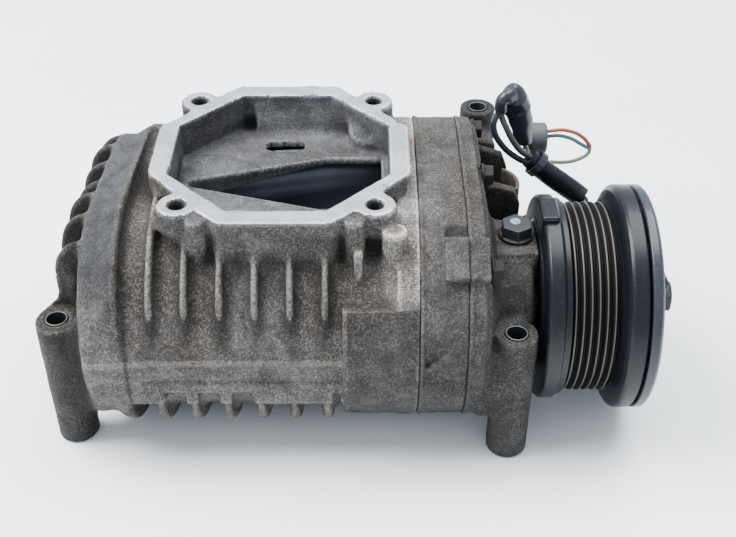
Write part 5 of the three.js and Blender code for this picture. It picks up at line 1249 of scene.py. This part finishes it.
LEADS = {
    "harness_lead_1": [
        (106.5, 40, 124.5), (105.4, 38, 121), (103.2, 36, 115.3), (104.9, 35, 108.4), (111, 34.6, 100.4),
        (118.6, 35, 94.6), (121.4, 35, 94.4),
    ],
    "harness_lead_2": [
        (107.4, 40, 121), (107.4, 38, 117.6), (110, 36, 112.4), (113.1, 35, 106.6), (117.3, 34.6, 101), (121.4, 35, 97.6), (123.4, 35, 96.2),
    ],
    "coil_lead_1": [
        (150.4, 31.8, 75.6), (153.9, 32.6, 70.5), (150.5, 35, 64.6), (139, 36.5, 62), (129.5, 35.5, 64.5),
        (125.6, 31.5, 65.6), (125.4, 26.4, 65.6),
    ],
    "coil_lead_2": [
        (150.1, 26.6, 75.8), (152.2, 27.3, 70.2), (146, 29, 64.2), (136, 30, 60.5), (128, 30.6, 59.4),
        (123.4, 29.6, 59.5), (122.8, 26.4, 59.5),
    ],
}
for name, points in LEADS.items():
    material = GREY_LEAD if name == "harness_lead_2" else RUBBER
    lead = sweep(f"{name}_wire", points, [1.6], [material], 70, 20)
    stand_for(lead, "root", "black_rubber", name)
RED_RUN = [
    (134, 60, 96.6), (138.2, 60, 97.3), (143, 60, 97.6), (149.5, 60, 95.9), (154.6, 60, 92.4), (157.8, 60, 88.2),
    (158.2, 59.6, 86.6),
]
TEAL_RUN = [
    (134, 60, 93.4), (138.5, 60, 94.1), (142.7, 60, 93.9), (148.2, 60, 92.1), (152.8, 60, 89.2), (157.4, 59.8, 86.6),
]
GREEN_RUN = [
    (158.2, 59.6, 87.4), (157.6, 58.9, 84.0), (153.6, 58.5, 80.9), (148.1, 58.4, 79), (142.9, 58, 78.8),
    (137, 57, 79.7), (131.5, 54, 81.5), (126.5, 50.5, 86), (123.2, 47.2, 93), (120.4, 44.8, 101.9),
]
WIRES = {
    "red_wire": (RED_RUN, RED, "red_insulation"),
    "teal_wire": (TEAL_RUN, TEAL, "teal_insulation"),
    "green_wire": (GREEN_RUN, GREEN, "green_insulation"),
}
for name, (points, material, slot_name) in WIRES.items():
    wire = sweep(f"{name}_strand", points, [1.0], [material], 60, 16)
    stand_for(wire, "root", slot_name, name)
keep("harness_tie", RUBBER)
connector = lathe(
    "connector_shell",
    [(0, 122.6), (6, 122.6), (6.4, 125.6), (8.3, 126), (8.3, 133.4), (7.2, 134.4), (5.6, 134.4), (5.6, 133.6), (0, 133.6)],
    (60, 92.6), [PLASTIC], sides=64, closed=False, radius=0.35,
)
stand_for(connector, "root", "grey_plastic", "coil_connector")


def strap(x, y, z):
    u, v = x - 100, y - 12
    r, a = np.hypot(u, v), np.arctan2(v, u)
    off = np.abs(a - math.radians(15)) - math.radians(43)
    return both(both(np.abs(r - 14.1) - 0.9, off * 14.1, 0.4), slab(z, 74, 97), 0.6)


bracket = carve(
    "harness_strap", [("add", (strap, (99, 3, 74), (116, 28, 97)))], (98, 2, 72), (117, 29, 99), 0.4, [CAST_STRAP], 0.3,
)
stand_for(bracket, "root", "dark_steel", "harness_bracket")

# ---- table, lights and camera --------------------------------------------------------------------


def build_table():
    m = Nodes("table")
    wide = m.noise(2.5, 3, 0.5)
    fine = m.noise(60, 4, 0.6)
    base = m.mix(m.level(wide, 0.35, 0.65), (0.80, 0.84, 0.88), (0.88, 0.90, 0.92))
    m.bump(fine, 0.10, 0.0006)
    m.done(Base_Color=base, Roughness=0.32)
    me = bpy.data.meshes.new("table_top")
    s = 3.0
    me.from_pydata([(-s, -s, -0.0002), (s, -s, -0.0002), (s, s, -0.0002), (-s, s, -0.0002)], [], [(0, 1, 2, 3)])
    me.materials.append(m.material)
    table = bpy.data.objects.new("table_top", me)
    bpy.context.scene.collection.objects.link(table)
    table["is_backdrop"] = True


def area_light(name, place, target, size, power, colour=(1, 1, 1)):
    data = bpy.data.lights.new(name, "AREA")
    data.shape, data.size, data.energy, data.color = "DISK", size, power, colour
    lamp = bpy.data.objects.new(name, data)
    bpy.context.scene.collection.objects.link(lamp)
    lamp.location = place
    lamp.rotation_euler = (Vector(target) - Vector(place)).to_track_quat("-Z", "Y").to_euler()
    lamp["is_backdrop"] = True


build_table()
world = bpy.data.worlds.new("studio")
world.use_nodes = True
world.node_tree.nodes["Background"].inputs["Color"].default_value = (0.84, 0.92, 1.0, 1.0)
world.node_tree.nodes["Background"].inputs["Strength"].default_value = 1.35
bpy.context.scene.world = world
area_light("window", (-0.75, 0.10, 1.15), (0, 0, 0.05), 1.0, 62, (1.0, 0.985, 0.96))
area_light("ceiling", (0.35, 0.35, 1.3), (0, 0, 0.05), 1.2, 40, (0.95, 0.98, 1.0))

camera_data = bpy.data.cameras.new("camera")
camera_data.lens, camera_data.sensor_width = 55.81, 36.0
camera_data.clip_start, camera_data.clip_end = 0.01, 20
camera = bpy.data.objects.new("camera", camera_data)
camera.location = (0.00184, -0.47192, 0.40566)
camera.rotation_euler = (math.radians(90 - 37.65), 0, -math.radians(0.14))
bpy.context.scene.collection.objects.link(camera)
bpy.context.scene.camera = camera

low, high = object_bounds()
